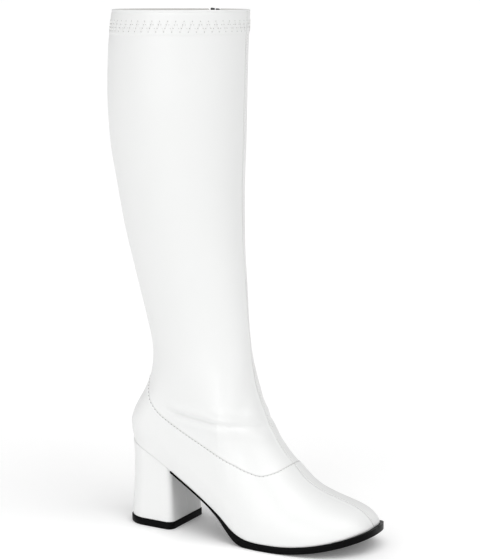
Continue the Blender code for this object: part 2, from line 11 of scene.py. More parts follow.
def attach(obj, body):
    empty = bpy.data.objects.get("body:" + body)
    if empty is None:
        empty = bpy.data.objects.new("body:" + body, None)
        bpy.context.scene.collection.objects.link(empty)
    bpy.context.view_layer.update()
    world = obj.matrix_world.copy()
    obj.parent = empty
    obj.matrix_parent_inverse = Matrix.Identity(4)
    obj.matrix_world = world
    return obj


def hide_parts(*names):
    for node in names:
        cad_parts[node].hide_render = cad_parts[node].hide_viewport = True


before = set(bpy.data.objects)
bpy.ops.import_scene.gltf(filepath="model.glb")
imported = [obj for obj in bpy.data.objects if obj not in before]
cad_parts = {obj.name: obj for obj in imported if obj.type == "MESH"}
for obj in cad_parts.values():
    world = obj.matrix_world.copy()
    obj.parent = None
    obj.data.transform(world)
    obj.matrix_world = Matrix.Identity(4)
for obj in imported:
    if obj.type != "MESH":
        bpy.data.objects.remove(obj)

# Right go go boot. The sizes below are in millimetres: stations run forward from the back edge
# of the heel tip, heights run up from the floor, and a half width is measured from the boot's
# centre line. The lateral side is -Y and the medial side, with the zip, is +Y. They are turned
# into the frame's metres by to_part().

bl_info = {
    "name": "Go go boot",
    "version": (1, 0, 0),
    "blender": (4, 5, 0),
    "location": "3D View > Sidebar > Boot",
    "description": "Builds the leather, stitching, zip and soles of a knee-high boot round its frame",
    "category": "Object",
}

MM = 0.001
HEEL_CENTRE = 24.0
GAP = 0.3
LATERAL, MEDIAL = -1, 1

COLLAR_HEIGHT = 448.0
ANKLE_HEIGHT = 175.0
TOE_STATION = 223.8
BELLY_RISE = 22.0
HEEL_ROUND, HEEL_POWER = 24.0, 2.3
FOOT_TOP, LEG_BOTTOM = 95.0, 165.0
VAMP_POWER = 2.08
SOLE_LENGTH, BALL_STATION = 227.8, 153.5
TOE_POWER, TOE_SIDE_POWER = 2.8, 2.4
SOLE_LEDGE = 1.5
TOE_SPRING, SPRING_START, SPRING_POWER = 15.7, 150.0, 1.8
SWING, SWING_START, SWING_POWER = 13.5, 60.0, 1.6
INSOLE_THICKNESS, INSOLE_INSET, INSOLE_LEAN = 3.0, 2.2, 1.4
LIFT_THICKNESS = 6.0
LIFT_BACK, LIFT_BREAST, LIFT_HALF = -1.0, 49.3, 27.6
HEEL_SHIFT, HEEL_CORNER, HEEL_BACK_CORNER = -1.0, 6.0, 20.0
BREAST_STATION = 48.0
BREAST_SEAM_RISE, BREAST_SEAM_HALF = 0.28, 0.6
ZIP_SHARE, ZIP_FOOT_SHARE = 0.5, 0.53
CHANNEL_HALF, CHANNEL_DEPTH = 4.5, 0.9
NOTCH_DEPTH = 2.2
ZIP_ROW, ZIP_CLEAR = 7.4, 6.5       # the topstitch beside the zip, and where other rows stop
COLLAR_ROW = 13.3                   # middle of the collar zigzag, under the rim
ROW_LIFT, COIL_LIFT, COIL_OFFSET = 0.03, 0.25, 0.7
CHAIN_HALF, CHAIN_TOP = 4.2, 446.0
SLIDER_HEIGHT = 438.0

RIDGE_COLUMNS = ("height", "front")
RIDGE = (
    (19.7, 223.8), (23.0, 221.9), (29.0, 217.2), (34.0, 210.6), (37.5, 202.5),
    (41.0, 191.5), (45.8, 177.6), (50.8, 167.3), (57.2, 159.0), (67.0, 150.0),
    (80.0, 138.6), (90.0, 131.8), (100.0, 126.2), (110.0, 121.7), (120.0, 118.0),
)
COUNTER_COLUMNS = ("height", "back")
COUNTER = (
    (60.0, 1.6), (77.0, 0.6), (84.0, -0.5), (92.0, -0.8), (100.0, 1.4), (110.0, 6.2), (120.0, 11.9),
)
LEG_COLUMNS = ("height", "front", "back", "half_width")
LEG = (
    (130.0, 114.6, 15.9, 33.2),
    (140.0, 112.5, 17.6, 33.5),
    (150.0, 110.8, 18.5, 33.5),
    (160.0, 109.6, 17.9, 33.6),
    (180.0, 107.3, 14.1, 35.0),
    (220.0, 103.4, 4.2, 40.0),
    (260.0, 100.4, -5.2, 46.0),
    (300.0, 99.4, -12.6, 51.0),
    (340.0, 100.0, -18.2, 55.0),
    (380.0, 101.0, -20.3, 57.0),
    (415.0, 101.6, -18.6, 56.8),
    (448.0, 103.0, -14.0, 56.0),
)
LAST_COLUMNS = ("station", "feather", "tread", "lateral", "medial", "belly_lateral", "belly_medial")
LAST = (
    (-4.0, 77.6, 76.0, 28.8, 27.2, 2.0, 2.2),
    (0.0, 76.4, 74.8, 28.8, 27.2, 2.0, 2.2),
    (10.0, 73.0, 71.4, 28.8, 27.0, 2.2, 2.6),
    (20.0, 68.8, 67.2, 28.7, 26.8, 2.5, 3.0),
    (30.0, 63.8, 62.2, 28.7, 26.4, 2.8, 3.6),
    (44.0, 55.8, 54.2, 28.8, 25.8, 3.2, 4.6),
    (60.0, 46.6, 45.0, 29.4, 25.2, 3.6, 5.8),
    (75.0, 37.6, 36.0, 30.4, 25.4, 3.8, 6.4),
    (87.0, 30.2, 28.5, 31.9, 26.6, 3.6, 6.2),
    (100.0, 21.8, 18.2, 34.4, 29.4, 3.2, 5.4),
    (106.0, 17.2, 11.8, 35.8, 31.4, 2.9, 4.8),
    (113.0, 12.2, 5.2, 37.4, 34.0, 2.6, 4.0),
    (119.0, 9.2, 1.6, 38.7, 36.3, 2.4, 3.4),
    (125.0, 7.3, 0.2, 39.8, 38.5, 2.2, 2.8),
    (128.0, 6.7, 0.0, 40.3, 39.4, 2.1, 2.6),
    (140.0, 6.0, 0.0, 41.8, 41.8, 1.8, 2.0),
    (153.5, 6.0, 0.0, 42.4, 42.4, 1.6, 1.7),
)
SEAM_COLUMNS = ("station", "height")
SEAM = (
    (17.0, 138.0), (22.0, 126.5), (28.0, 114.5), (37.5, 104.5), (52.8, 95.9), (65.5, 90.0),
    (92.0, 78.6), (112.0, 70.0), (126.0, 64.2), (137.0, 61.4), (146.0, 63.6), (152.0, 67.4),
    (200.0, 80.0),
)
BLOCK_COLUMNS = ("height", "back", "breast", "half_width")
BLOCK = (
    (0.0, -0.6, 49.0, 27.2),
    (20.0, 0.0, 48.3, 26.5),
    (42.0, 1.4, 47.7, 26.1),
    (60.0, 1.6, 47.7, 26.2),
    (80.0, 0.6, 47.7, 26.6),
)

# The front seam turns a little towards the medial side up the leg (heights, distances)
SEAM_TURN = ((45.0, 67.0, 110.0, 180.0, 448.0), (0.0, 1.5, 4.0, 5.5, 11.0))

# Creases of the worn ankle, as troughs along a line on the foot, with a soft swell beside each
CREASE_COLUMNS = ("station", "height")
CREASES = (
    {"depth": 1.5, "width": 2.0, "medial": 0.7, "line": (
        (44.0, 109.0), (52.0, 107.6), (78.0, 104.6), (107.0, 102.2), (120.0, 100.4), (131.0, 96.0))},
    {"depth": 0.7, "width": 1.7, "medial": 0.6, "line": (
        (84.0, 111.0), (98.0, 109.0), (110.0, 107.6), (122.0, 104.6))},
)


# ---- settings


def length(name, description, value):
    return FloatProperty(
        name=name, description=description, default=value * MM, min=0.0, precision=5, unit="LENGTH"
    )


def colour(name, description, value):
    return FloatVectorProperty(
        name=name, description=description, default=value, min=0.0, max=1.0, subtype="COLOR", size=3
    )


class BootUpperSettings(bpy.types.PropertyGroup):
    wall: length("Wall", "Thickness of the stretch fabric with its lining", 1.6)
    panel_step: length("Panel step", "How far the foot panel lies over the shaft", 0.7)
    hem_depth: length("Hem depth", "Depth of the turned collar hem", 20.0)
    hem_step: length("Hem step", "How far the hem stands proud", 0.25)
    seam_ridge: length("Seam ridge", "How far the closed centre seam stands proud", 0.5)
    swell: length("Swell", "Slow waves in the stretched fabric", 0.22)
    cover: colour("Fabric", "Coated face of the fabric", (0.76, 0.765, 0.76))
    # The lining's grey is partly the knit's own colour and partly painted shade inside the shaft
    lining: colour("Lining", "Brushed knit inside the shaft", (0.60, 0.59, 0.57))


class BootSoleSettings(bpy.types.PropertyGroup):
    edge: length("Edge round", "Softened edge of the sole and the lift", 0.7)
    rubber: colour("Sole", "Polished black sole", (0.0018, 0.0018, 0.002))
    lift: colour("Top lift", "Black wearing piece of the heel", (0.002, 0.002, 0.0022))
    sock: colour("Sock", "Cover of the insole", (0.70, 0.69, 0.66))


class BootStitchSettings(bpy.types.PropertyGroup):
    thread: length("Thread", "Thickness of the sewing thread", 0.42)
    hole: length("Needle hole", "Width of a needle hole", 0.62)
    panel_pitch: length("Panel stitch", "Stitch length on the panel seam", 3.4)
    collar_pitch: length("Collar stitch", "Distance between two points of the collar zigzag", 6.7)
    collar_width: length("Collar width", "Height of the collar zigzag", 8.6)
    seam_pitch: length("Seam stitch", "Distance between two points of the centre seam zigzag", 2.6)
    seam_width: length("Seam width", "Width of the centre seam zigzag", 3.4)
    zip_pitch: length("Zip stitch", "Stitch length beside the zip", 2.9)
    thread_colour: colour("Thread colour", "White polyester thread", (0.80, 0.80, 0.79))
    hole_shadow_colour: colour("Hole colour", "Shadow in a needle hole", (0.36, 0.36, 0.355))


class BootZipSettings(bpy.types.PropertyGroup):
    pitch: length("Coil pitch", "Distance between two turns of the coil", 1.25)
    reach: length("Coil reach", "Half length of one turn, across the zip", 0.95)
    wire: length("Coil wire", "Thickness of one turn", 0.8)
    coil: colour("Coil", "White nylon", (0.80, 0.80, 0.78))
    metal: colour("Metal", "Bright nickel of the slider and its pull", (0.66, 0.66, 0.67))
    # The top stops' near black is painted shade at the top of the zip
    stops: colour("Stops", "Darkened metal of the top stops", (0.10, 0.10, 0.10))


class BootStageSettings(bpy.types.PropertyGroup):
    lamps: FloatProperty(name="Lamps", description="Share of the soft lamps' full strength", default=1.0)
    ambient: FloatProperty(name="Ambient", description="White light from all round", default=0.46)
    glow: FloatProperty(
        name="Floor glow", description="Light that comes through the floor sheet", default=0.09
    )
    floor: colour("Floor", "Pale studio floor", (0.97, 0.97, 0.97))


# ---- curves and sections of the boot


def smooth_curve(knots, values):
    """A curve through the knots that never overshoots them."""
    steps = np.diff(knots)
    slopes = np.diff(values) / steps
    tangents = np.zeros(len(knots))
    tangents[0], tangents[-1] = slopes[0], slopes[-1]
    for i in range(1, len(knots) - 1):
        if slopes[i - 1] * slopes[i] > 0:
            before = 2 * steps[i] + steps[i - 1]
            after = steps[i] + 2 * steps[i - 1]
            tangents[i] = (before + after) / (before / slopes[i - 1] + after / slopes[i])

    def value(at):
        at = np.clip(at, knots[0], knots[-1])
        i = np.clip(np.searchsorted(knots, at, side="right") - 1, 0, len(steps) - 1)
        t = (at - knots[i]) / steps[i]
        start = values[i] * (2 * t**3 - 3 * t**2 + 1) + tangents[i] * steps[i] * (t**3 - 2 * t**2 + t)
        end = values[i + 1] * (3 * t**2 - 2 * t**3) + tangents[i + 1] * steps[i] * (t**3 - t**2)
        return start + end

    return value


def table_curve(table, columns, along, wanted):
    knots = np.array([row[columns.index(along)] for row in table])
    return smooth_curve(knots, np.array([row[columns.index(wanted)] for row in table]))


def joined_profile(low_table, low_columns, wanted):
    heights = [row[0] for row in low_table] + [row[0] for row in LEG]
    column = LEG_COLUMNS.index(wanted)
    values = [row[low_columns.index(wanted)] for row in low_table] + [row[column] for row in LEG]
    return smooth_curve(np.array(heights), np.array(values))


front = joined_profile(RIDGE, RIDGE_COLUMNS, "front")
back = joined_profile(COUNTER, COUNTER_COLUMNS, "back")
leg_half = table_curve(LEG, LEG_COLUMNS, "height", "half_width")
last_feather = table_curve(LAST, LAST_COLUMNS, "station", "feather")
last_tread = table_curve(LAST, LAST_COLUMNS, "station", "tread")
last_half = {
    LATERAL: table_curve(LAST, LAST_COLUMNS, "station", "lateral"),
    MEDIAL: table_curve(LAST, LAST_COLUMNS, "station", "medial"),
}
last_belly = {
    LATERAL: table_curve(LAST, LAST_COLUMNS, "station", "belly_lateral"),
    MEDIAL: table_curve(LAST, LAST_COLUMNS, "station", "belly_medial"),
}
seam_height = table_curve(SEAM, SEAM_COLUMNS, "station", "height")
ridge_heights = np.linspace(RIDGE[0][0], 300.0, 3000)
ridge_stations = front(ridge_heights)


def ridge(station):
    """Height of the upper's centre ridge at a station; far overhead behind the leg's front."""
    stations = np.concatenate(([-60.0], ridge_stations[::-1]))
    return np.interp(station, stations, np.concatenate(([3000.0], ridge_heights[::-1])))


def spring(station):
    reach = np.clip((station - SPRING_START) / (SOLE_LENGTH - SPRING_START), 0, None)
    return TOE_SPRING * reach**SPRING_POWER


def feather(station):
    """Height of the line where the upper meets the sole."""
    return last_feather(station) + spring(station)


def tread(station):
    return last_tread(station) + spring(station)


def swing(station):
    reach = np.clip((station - SWING_START) / (SOLE_LENGTH - SWING_START), 0, None)
    return SWING * reach**SWING_POWER


def toe_share(station, tip):
    reach = np.clip((station - BALL_STATION) / (tip - BALL_STATION), 0, 1)
    return (1 - reach**TOE_POWER) ** (1 / TOE_SIDE_POWER)


def sole_half(station, side):
    return last_half[side](station) * toe_share(station, SOLE_LENGTH)


def smoothstep(value):
    t = np.clip(value, 0, 1)
    return t * t * (3 - 2 * t)


def leg_share(height):
    return smoothstep((height - FOOT_TOP) / (LEG_BOTTOM - FOOT_TOP))


def upper_half(station, height, side):
    """Half width of the upper's outside at a station, a height and a side."""
    rise = np.clip(height - feather(station) - GAP, 0, None)
    room = np.clip(ridge(station) - feather(station) - GAP, 1e-6, None)
    lean = last_belly[side](station) * toe_share(station, TOE_STATION)
    foot = (last_half[side](station) - SOLE_LEDGE) * toe_share(station, TOE_STATION)
    foot = foot + lean * np.sin(np.pi / 2 * np.clip(rise / BELLY_RISE, 0, 1))
    foot *= np.sqrt(1 - np.clip(rise / room, 0, 1) ** VAMP_POWER)
    from_back = np.clip(station - back(height), 0, HEEL_ROUND)
    foot *= np.clip(1 - (1 - from_back / HEEL_ROUND) ** HEEL_POWER, 0, 1) ** (1 / HEEL_POWER)
    middle = (front(height) + back(height)) / 2
    reach = (front(height) - back(height)) / 2
    leg = leg_half(height) * np.sqrt(np.clip(1 - ((station - middle) / reach) ** 2, 0, 1))
    share = leg_share(height)
    return foot * (1 - share) + leg * share


def solve(function, low, high):
    """Where a function that falls from positive to negative is zero."""
    for _ in range(50):
        middle = (low + high) / 2
        if function(middle) > 0:
            low = middle
        else:
            high = middle
    return (low + high) / 2


def half_ring(level, side):
    """One side of a section whose height follows level(station), from front to back."""
    tip = solve(lambda s: front(level(s)) - s, 60.0, TOE_STATION)
    heel = solve(lambda s: back(level(s)) - s, -40.0, 60.0)
    stations = heel + (tip - heel) * (1 + np.cos(math.pi * np.linspace(0, 1, 900))) / 2
    heights = level(stations)
    halves = upper_half(stations, heights, side)
    halves[0] = halves[-1] = 0.0
    centres = swing(stations) * (1 - leg_share(heights))
    points = np.column_stack((stations, centres + side * halves, heights))
    steps = np.linalg.norm(np.diff(points, axis=0), axis=1)
    return points, np.concatenate(([0.0], np.cumsum(steps)))


def at_arc(points, arc, distance):
    return np.column_stack([np.interp(distance, arc, points[:, axis]) for axis in range(3)])


def seam_turn(height):
    """How far the front seam lies towards the medial side of the boot's middle."""
    return np.interp(height, SEAM_TURN[0], SEAM_TURN[1])


def to_part(points):
    return (np.asarray(points, float) - (HEEL_CENTRE, 0, 0)) * MM


def foot_level(share, clear=0.0):
    """A section between the feather line (0) and the panel seam less a distance (1)."""
    def level(station):
        low = feather(station) + GAP
        return low + share * (seam_height(station) - clear - low)
    return level


def seam_level(offset):
    def level(station):
        return seam_height(station) + offset
    return level


def ankle_level(share, clear=0.0):
    """A section between the panel seam plus a distance (0) and the level ankle (1)."""
    def level(station):
        low = seam_height(station) + clear
        return low + share * (ANKLE_HEIGHT - low)
    return level


def leg_level(height):
    def level(station):
        return height + 0 * np.asarray(station, float)
    return level


# ---- meshes and materials


def add_piece(name, vertices, faces, materials, outward=True):
    """A mesh object in the frame's metres, with its faces turned outwards."""
    mesh = bpy.data.meshes.new(name)
    mesh.from_pydata(np.asarray(vertices, float).tolist(), [], faces)
    if outward:
        shape = bmesh.new()
        shape.from_mesh(mesh)
        bmesh.ops.recalc_face_normals(shape, faces=shape.faces)
        shape.to_mesh(mesh)
        shape.free()
    for material in materials:
        mesh.materials.append(material)
    mesh.shade_smooth()
    piece = bpy.data.objects.new(name, mesh)
    bpy.context.scene.collection.objects.link(piece)
    return piece


def tube_faces(count, size, closed):
    faces = []
    for k in range(count if closed else count - 1):
        after_k = (k + 1) % count
        for i in range(size):
            after = (i + 1) % size
            faces.append((k * size + i, after_k * size + i, after_k * size + after, k * size + after))
    return faces


def new_socket(tree, name, kind, outgoing=False, value=None):
    socket = tree.interface.new_socket(name, in_out="OUTPUT" if outgoing else "INPUT", socket_type=kind)
    if value is not None:
        socket.default_value = value
    return socket


def add_node(tree, kind, inputs=(), **settings):
    """A node with its settings, and its inputs linked or set by name or number."""
    node = tree.nodes.new(kind)
    for name, value in settings.items():
        setattr(node, name, value)
    for key, value in dict(inputs).items():
        if isinstance(value, bpy.types.NodeSocket):
            tree.links.new(value, node.inputs[key])
        else:
            node.inputs[key].default_value = value
    return node


def maths(tree, operation, *values):
    """The result of a math node on numbers or sockets."""
    return add_node(tree, "ShaderNodeMath", dict(enumerate(values)), operation=operation).outputs[0]


def vector_maths(tree, operation, *values):
    return add_node(tree, "ShaderNodeVectorMath", dict(enumerate(values)), operation=operation).outputs[0]


def grain_group():
    """Fine pebbled grain with a slow mottle."""
    tree = bpy.data.node_groups.get("fine grain")
    if tree:
        return tree
    tree = bpy.data.node_groups.new("fine grain", "ShaderNodeTree")
    new_socket(tree, "Vector", "NodeSocketVector")
    new_socket(tree, "Scale", "NodeSocketFloat", value=1500.0)
    new_socket(tree, "Mottle Scale", "NodeSocketFloat", value=18.0)
    new_socket(tree, "Height", "NodeSocketFloat", outgoing=True)
    new_socket(tree, "Mottle", "NodeSocketFloat", outgoing=True)
    given = add_node(tree, "NodeGroupInput")
    cells = add_node(tree, "ShaderNodeTexVoronoi", {
        "Vector": given.outputs["Vector"], "Scale": given.outputs["Scale"], "Randomness": 0.9,
    }, feature="SMOOTH_F1")
    fine = add_node(tree, "ShaderNodeTexNoise", {
        "Vector": given.outputs["Vector"], "Scale": given.outputs["Scale"], "Detail": 3.0,
    })
    height = maths(tree, "ADD", cells.outputs["Distance"], fine.outputs["Fac"])
    slow = add_node(tree, "ShaderNodeTexNoise", {
        "Vector": given.outputs["Vector"], "Scale": given.outputs["Mottle Scale"], "Detail": 4.0,
    })
    add_node(tree, "NodeGroupOutput", {"Height": height, "Mottle": slow.outputs["Fac"]})
    return tree


def weave_group():
    """Warp and weft, or knitted ribs, on a UV map in metres."""
    tree = bpy.data.node_groups.get("weave")
    if tree:
        return tree
    tree = bpy.data.node_groups.new("weave", "ShaderNodeTree")
    new_socket(tree, "UV", "NodeSocketVector")
    new_socket(tree, "Threads Across", "NodeSocketFloat", value=900.0)
    new_socket(tree, "Threads Along", "NodeSocketFloat", value=900.0)
    new_socket(tree, "Height", "NodeSocketFloat", outgoing=True)
    given = add_node(tree, "NodeGroupInput")
    split = add_node(tree, "ShaderNodeSeparateXYZ", {0: given.outputs["UV"]})
    waves = []
    for axis, count in (("X", "Threads Across"), ("Y", "Threads Along")):
        turns = maths(tree, "MULTIPLY", split.outputs[axis], given.outputs[count])
        waves.append(maths(tree, "SINE", maths(tree, "MULTIPLY", turns, 2 * math.pi)))
    add_node(tree, "NodeGroupOutput", {"Height": maths(tree, "MULTIPLY", *waves)})
    return tree


def new_material(name):
    material = bpy.data.materials.new(name)
    material.use_nodes = True
    tree = material.node_tree
    return material, tree, tree.nodes["Principled BSDF"]


def darker(base, share):
    """A colour at a share of its brightness: the dark side of a random mottle, or painted shade between a
    weave's threads.
    """
    return tuple(share * part for part in base)


def range_node(tree, value, low, high, start=0.3, end=0.7):
    node = add_node(tree, "ShaderNodeMapRange", {
        "Value": value, "From Min": start, "From Max": end, "To Min": low, "To Max": high,
    })
    return node.outputs["Result"]


MIX_FIRST, MIX_SECOND, MIX_RESULT = 6, 7, 2     # the colour sockets of a mix node


def mixed(tree, factor, first, second):
    """A colour between two others."""
    node = add_node(tree, "ShaderNodeMix", {
        "Factor": factor, MIX_FIRST: first, MIX_SECOND: second,
    }, data_type="RGBA")
    return node.outputs[MIX_RESULT]


def add_bump(tree, shader, height, strength, depth):
    bump = add_node(tree, "ShaderNodeBump", {
        "Height": height, "Strength": strength, "Distance": depth * MM,
    })
    tree.links.new(bump.outputs[0], shader.inputs["Normal"])


def grained_material(name, base, dirt, grain, depth, roughness, metallic=0.0, coat=0.0, coat_rough=0.2,
                     painted_groove_shade=None, specular=0.5):
    """Smooth material with grain, mottled gloss and, when a groove colour is given, painted shade in its
    low places.
    """
    material, tree, shader = new_material(name)
    place = add_node(tree, "ShaderNodeTexCoord")
    fine = add_node(tree, "ShaderNodeGroup", node_tree=grain_group())
    tree.links.new(place.outputs["Object"], fine.inputs["Vector"])
    fine.inputs["Scale"].default_value = grain
    add_bump(tree, shader, fine.outputs["Height"], 0.5, depth)
    tree.links.new(range_node(tree, fine.outputs["Mottle"], *roughness), shader.inputs["Roughness"])
    mottle = range_node(tree, fine.outputs["Mottle"], 0.0, 0.25)
    tone = mixed(tree, mottle, (*base, 1), (*dirt, 1))
    if painted_groove_shade:
        # Painted shade in the low places, weighted by a point attribute of the mesh
        low = add_node(tree, "ShaderNodeAttribute", attribute_name="painted_groove_shade")
        tone = mixed(tree, low.outputs["Fac"], tone, (*painted_groove_shade, 1))
    tree.links.new(tone, shader.inputs["Base Color"])
    shader.inputs["Metallic"].default_value = metallic
    shader.inputs["Specular IOR Level"].default_value = specular
    shader.inputs["Coat Weight"].default_value = coat
    shader.inputs["Coat Roughness"].default_value = coat_rough
    return material


def woven_material(name, base, across, along, depth, roughness, sheen=0.0):
    """Cloth with threads across and along its UV map, with painted shade between them."""
    material, tree, shader = new_material(name)
    place = add_node(tree, "ShaderNodeUVMap", uv_map="surface")
    weave = add_node(tree, "ShaderNodeGroup", node_tree=weave_group())
    tree.links.new(place.outputs[0], weave.inputs["UV"])
    weave.inputs["Threads Across"].default_value = across
    weave.inputs["Threads Along"].default_value = along
    add_bump(tree, shader, weave.outputs["Height"], 0.6, depth)
    # Painted shade between the threads
    thread_gap_shade = range_node(tree, weave.outputs["Height"], 0.5, 0.0, -1.0, 1.0)
    tone = mixed(tree, thread_gap_shade, (*base, 1), (*darker(base, 0.72), 1))
    tree.links.new(tone, shader.inputs["Base Color"])
    shader.inputs["Roughness"].default_value = roughness
    shader.inputs["Sheen Weight"].default_value = sheen
    return material


def write_uv(mesh, values, size=0, closing=None):
    """UV in metres from one pair per vertex; a ring's last face ends at the ring's full length."""
    layer = mesh.uv_layers.new(name="surface")
    corners = np.empty(len(mesh.loops), np.int64)
    mesh.loops.foreach_get("vertex_index", corners)
    uv = values[corners]
    if closing is not None:
        counts = np.empty(len(mesh.polygons), np.int64)
        mesh.polygons.foreach_get("loop_total", counts)
        face = np.repeat(np.arange(len(counts)), counts)
        last = (face % size == size - 1) & (corners % size == 0)
        uv[last, 0] = closing[corners[last] // size]
    layer.data.foreach_set("uv", uv.ravel())


# ---- upper


FRONT_OFFSETS = (0, 0.2, 0.4, 0.62, 0.9, 1.25, 1.6, 1.9, 2.15, 2.4, 2.7, 3.2, 4.2)
BACK_OFFSETS = (0, 0.25, 0.5, 0.8, 1.2, 2.0, 3.2)
ZIP_OFFSETS = (3.4, 4.1, 4.4, 4.6, 4.85, 5.15, 5.6, 6.2, 7.0, 8.0, 9.2)
LATERAL_COLUMNS = 126
FRONT_COLUMNS, BACK_COLUMNS = 50, 50
CROWDING = 0.05
SEAM_OFFSETS = (-7, -5, -3.4, -2.4, -1.8, -1.4, -1.05, -0.8, -0.6, -0.4, -0.2, 0,
                0.2, 0.4, 0.6, 0.85, 1.2, 1.8, 2.8, 4.6, 7)
FOOT_RINGS, ANKLE_RINGS, LEG_RINGS, HEM_RINGS = 30, 58, 64, 18
TURN_FADE = 45.0        # distance over which the front seam's turn fades out along a ring

FROM_ZIP, RUN = 2, 4    # places in the facts that full_ring gives

# Fine relief of the upper in millimetres, as (height, half breadth)
RIM_ROLL = (-0.22, 0.7)
PANEL_SWELL = (0.18, 1.3)
BACK_WELT = (0.16, 0.8)
PANEL_DIP, FRONT_DIP, BACK_DIP = (0.42, 0.32), (0.62, 0.5), (0.34, 0.38)
ZIP_WELT = (0.3, 0.8)
PUCKER, PUCKER_PITCH, PUCKER_HALF = 0.14, 6.7, 5.5
CREASE_FADE_IN, CREASE_FADE_OUT = 12.0, 14.0


def spread(low, high, count):
    """Even columns between two distances, a little closer together at both ends."""
    shares = np.arange(1, count) / count
    return low + (high - low) * (shares - CROWDING * np.sin(2 * np.pi * shares))


def ring_columns(reach, side):
    """Distances along one side of a ring, front to back."""
    ahead = np.array(FRONT_OFFSETS)
    behind = reach - np.array(BACK_OFFSETS)[::-1]
    if side == LATERAL:
        return np.concatenate((ahead, spread(ahead[-1], behind[0], LATERAL_COLUMNS), behind))
    centre = ZIP_SHARE * reach
    offsets = np.array(ZIP_OFFSETS)
    zone = np.concatenate((centre - offsets[::-1], [centre - 1.7, centre, centre + 1.7], centre + offsets))
    before = spread(ahead[-1], zone[0], FRONT_COLUMNS)
    after = spread(zone[-1], behind[0], BACK_COLUMNS)
    return np.concatenate((ahead, before, zone, after, behind))


def full_ring(level):
    """A closed section (front, lateral side, back, medial side), the facts of each of its points
    (distances from the front, the back and the zip, side, run round the ring) and its length."""
    rows, facts = [], []
    halves = {side: half_ring(level, side) for side in (LATERAL, MEDIAL)}
    turn = seam_turn(halves[LATERAL][0][0, 2])
    for side in (LATERAL, MEDIAL):
        points, arc = halves[side]
        columns = ring_columns(arc[-1], side)
        moved = columns + side * turn * (1 - smoothstep(columns / TURN_FADE))
        places = at_arc(points, arc, moved)
        if side == LATERAL:
            places[moved < 0] = at_arc(*halves[MEDIAL], -moved[moved < 0])
        from_zip = columns - ZIP_SHARE * arc[-1] if side == MEDIAL else np.full(len(columns), 1e3)
        run = columns if side == LATERAL else 2 * arc[-1] - columns
        fact = np.column_stack((columns, arc[-1] - columns, from_zip, np.full(len(columns), side), run))
        if side == LATERAL:
            around = arc[-1]
        else:
            fact[:, RUN] += around - arc[-1]
            places, fact = places[-2:0:-1], fact[-2:0:-1]
        rows.append(places)
        facts.append(fact)
    return np.vstack(rows), np.vstack(facts), around + arc[-1]


def upper_levels(settings):
    clear = -SEAM_OFFSETS[0]
    hem = COLLAR_HEIGHT - settings.hem_depth / MM
    levels = [foot_level(share, clear) for share in np.arange(FOOT_RINGS) / FOOT_RINGS]
    levels += [seam_level(offset) for offset in SEAM_OFFSETS]
    levels += [ankle_level(share, clear) for share in np.arange(1, ANKLE_RINGS) / ANKLE_RINGS]
    levels += [leg_level(height) for height in np.linspace(ANKLE_HEIGHT, hem - 1.5, LEG_RINGS)]
    steps = (-0.9, -0.5, -0.2, 0.1, 0.5, 1.0)
    levels += [leg_level(hem + step) for step in steps]
    levels += [leg_level(height) for height in np.linspace(hem + 2, COLLAR_HEIGHT - 4, HEM_RINGS)]
    levels += [leg_level(COLLAR_HEIGHT - drop) for drop in (3.3, 2.8, 2.4, 2.0, 1.6, 1.2, 0.9)]
    return levels


def ring_normals(rings):
    around = np.roll(rings, -1, axis=1) - np.roll(rings, 1, axis=1)
    up = np.gradient(rings, axis=0)
    normals = np.cross(up, around)
    return normals / np.linalg.norm(normals, axis=2, keepdims=True)


def bell(distance, width):
    return np.exp(-((distance / width) ** 2))


def mark(distance, form):
    """A line of relief, given as (height, half breadth), at a distance from its middle."""
    height, half = form
    return height * bell(distance, half)


def crease_relief(stations, heights, sides, from_zip):
    """Troughs of the ankle with a soft swell along each of their sides."""
    total = np.zeros_like(stations)
    for crease in CREASES:
        line = table_curve(crease["line"], CREASE_COLUMNS, "station", "height")
        first, last = crease["line"][0][0], crease["line"][-1][0]
        slope = (line(stations + 1) - line(stations - 1)) / 2
        away = (heights - line(stations)) / np.sqrt(1 + slope**2)
        fade = smoothstep((stations - first) / CREASE_FADE_IN)
        fade = fade * smoothstep((last + CREASE_FADE_OUT - stations) / CREASE_FADE_OUT)
        width = crease["width"]
        form = 0.55 * bell(away - 2.7 * width, 1.7 * width) + 0.5 * bell(away + 2.9 * width, 1.9 * width)
        form -= bell(away, width)
        weight = np.where(sides == LATERAL, 1.0, crease["medial"]) * smoothstep((abs(from_zip) - 6) / 14)
        total += crease["depth"] * fade * weight * form
    return total


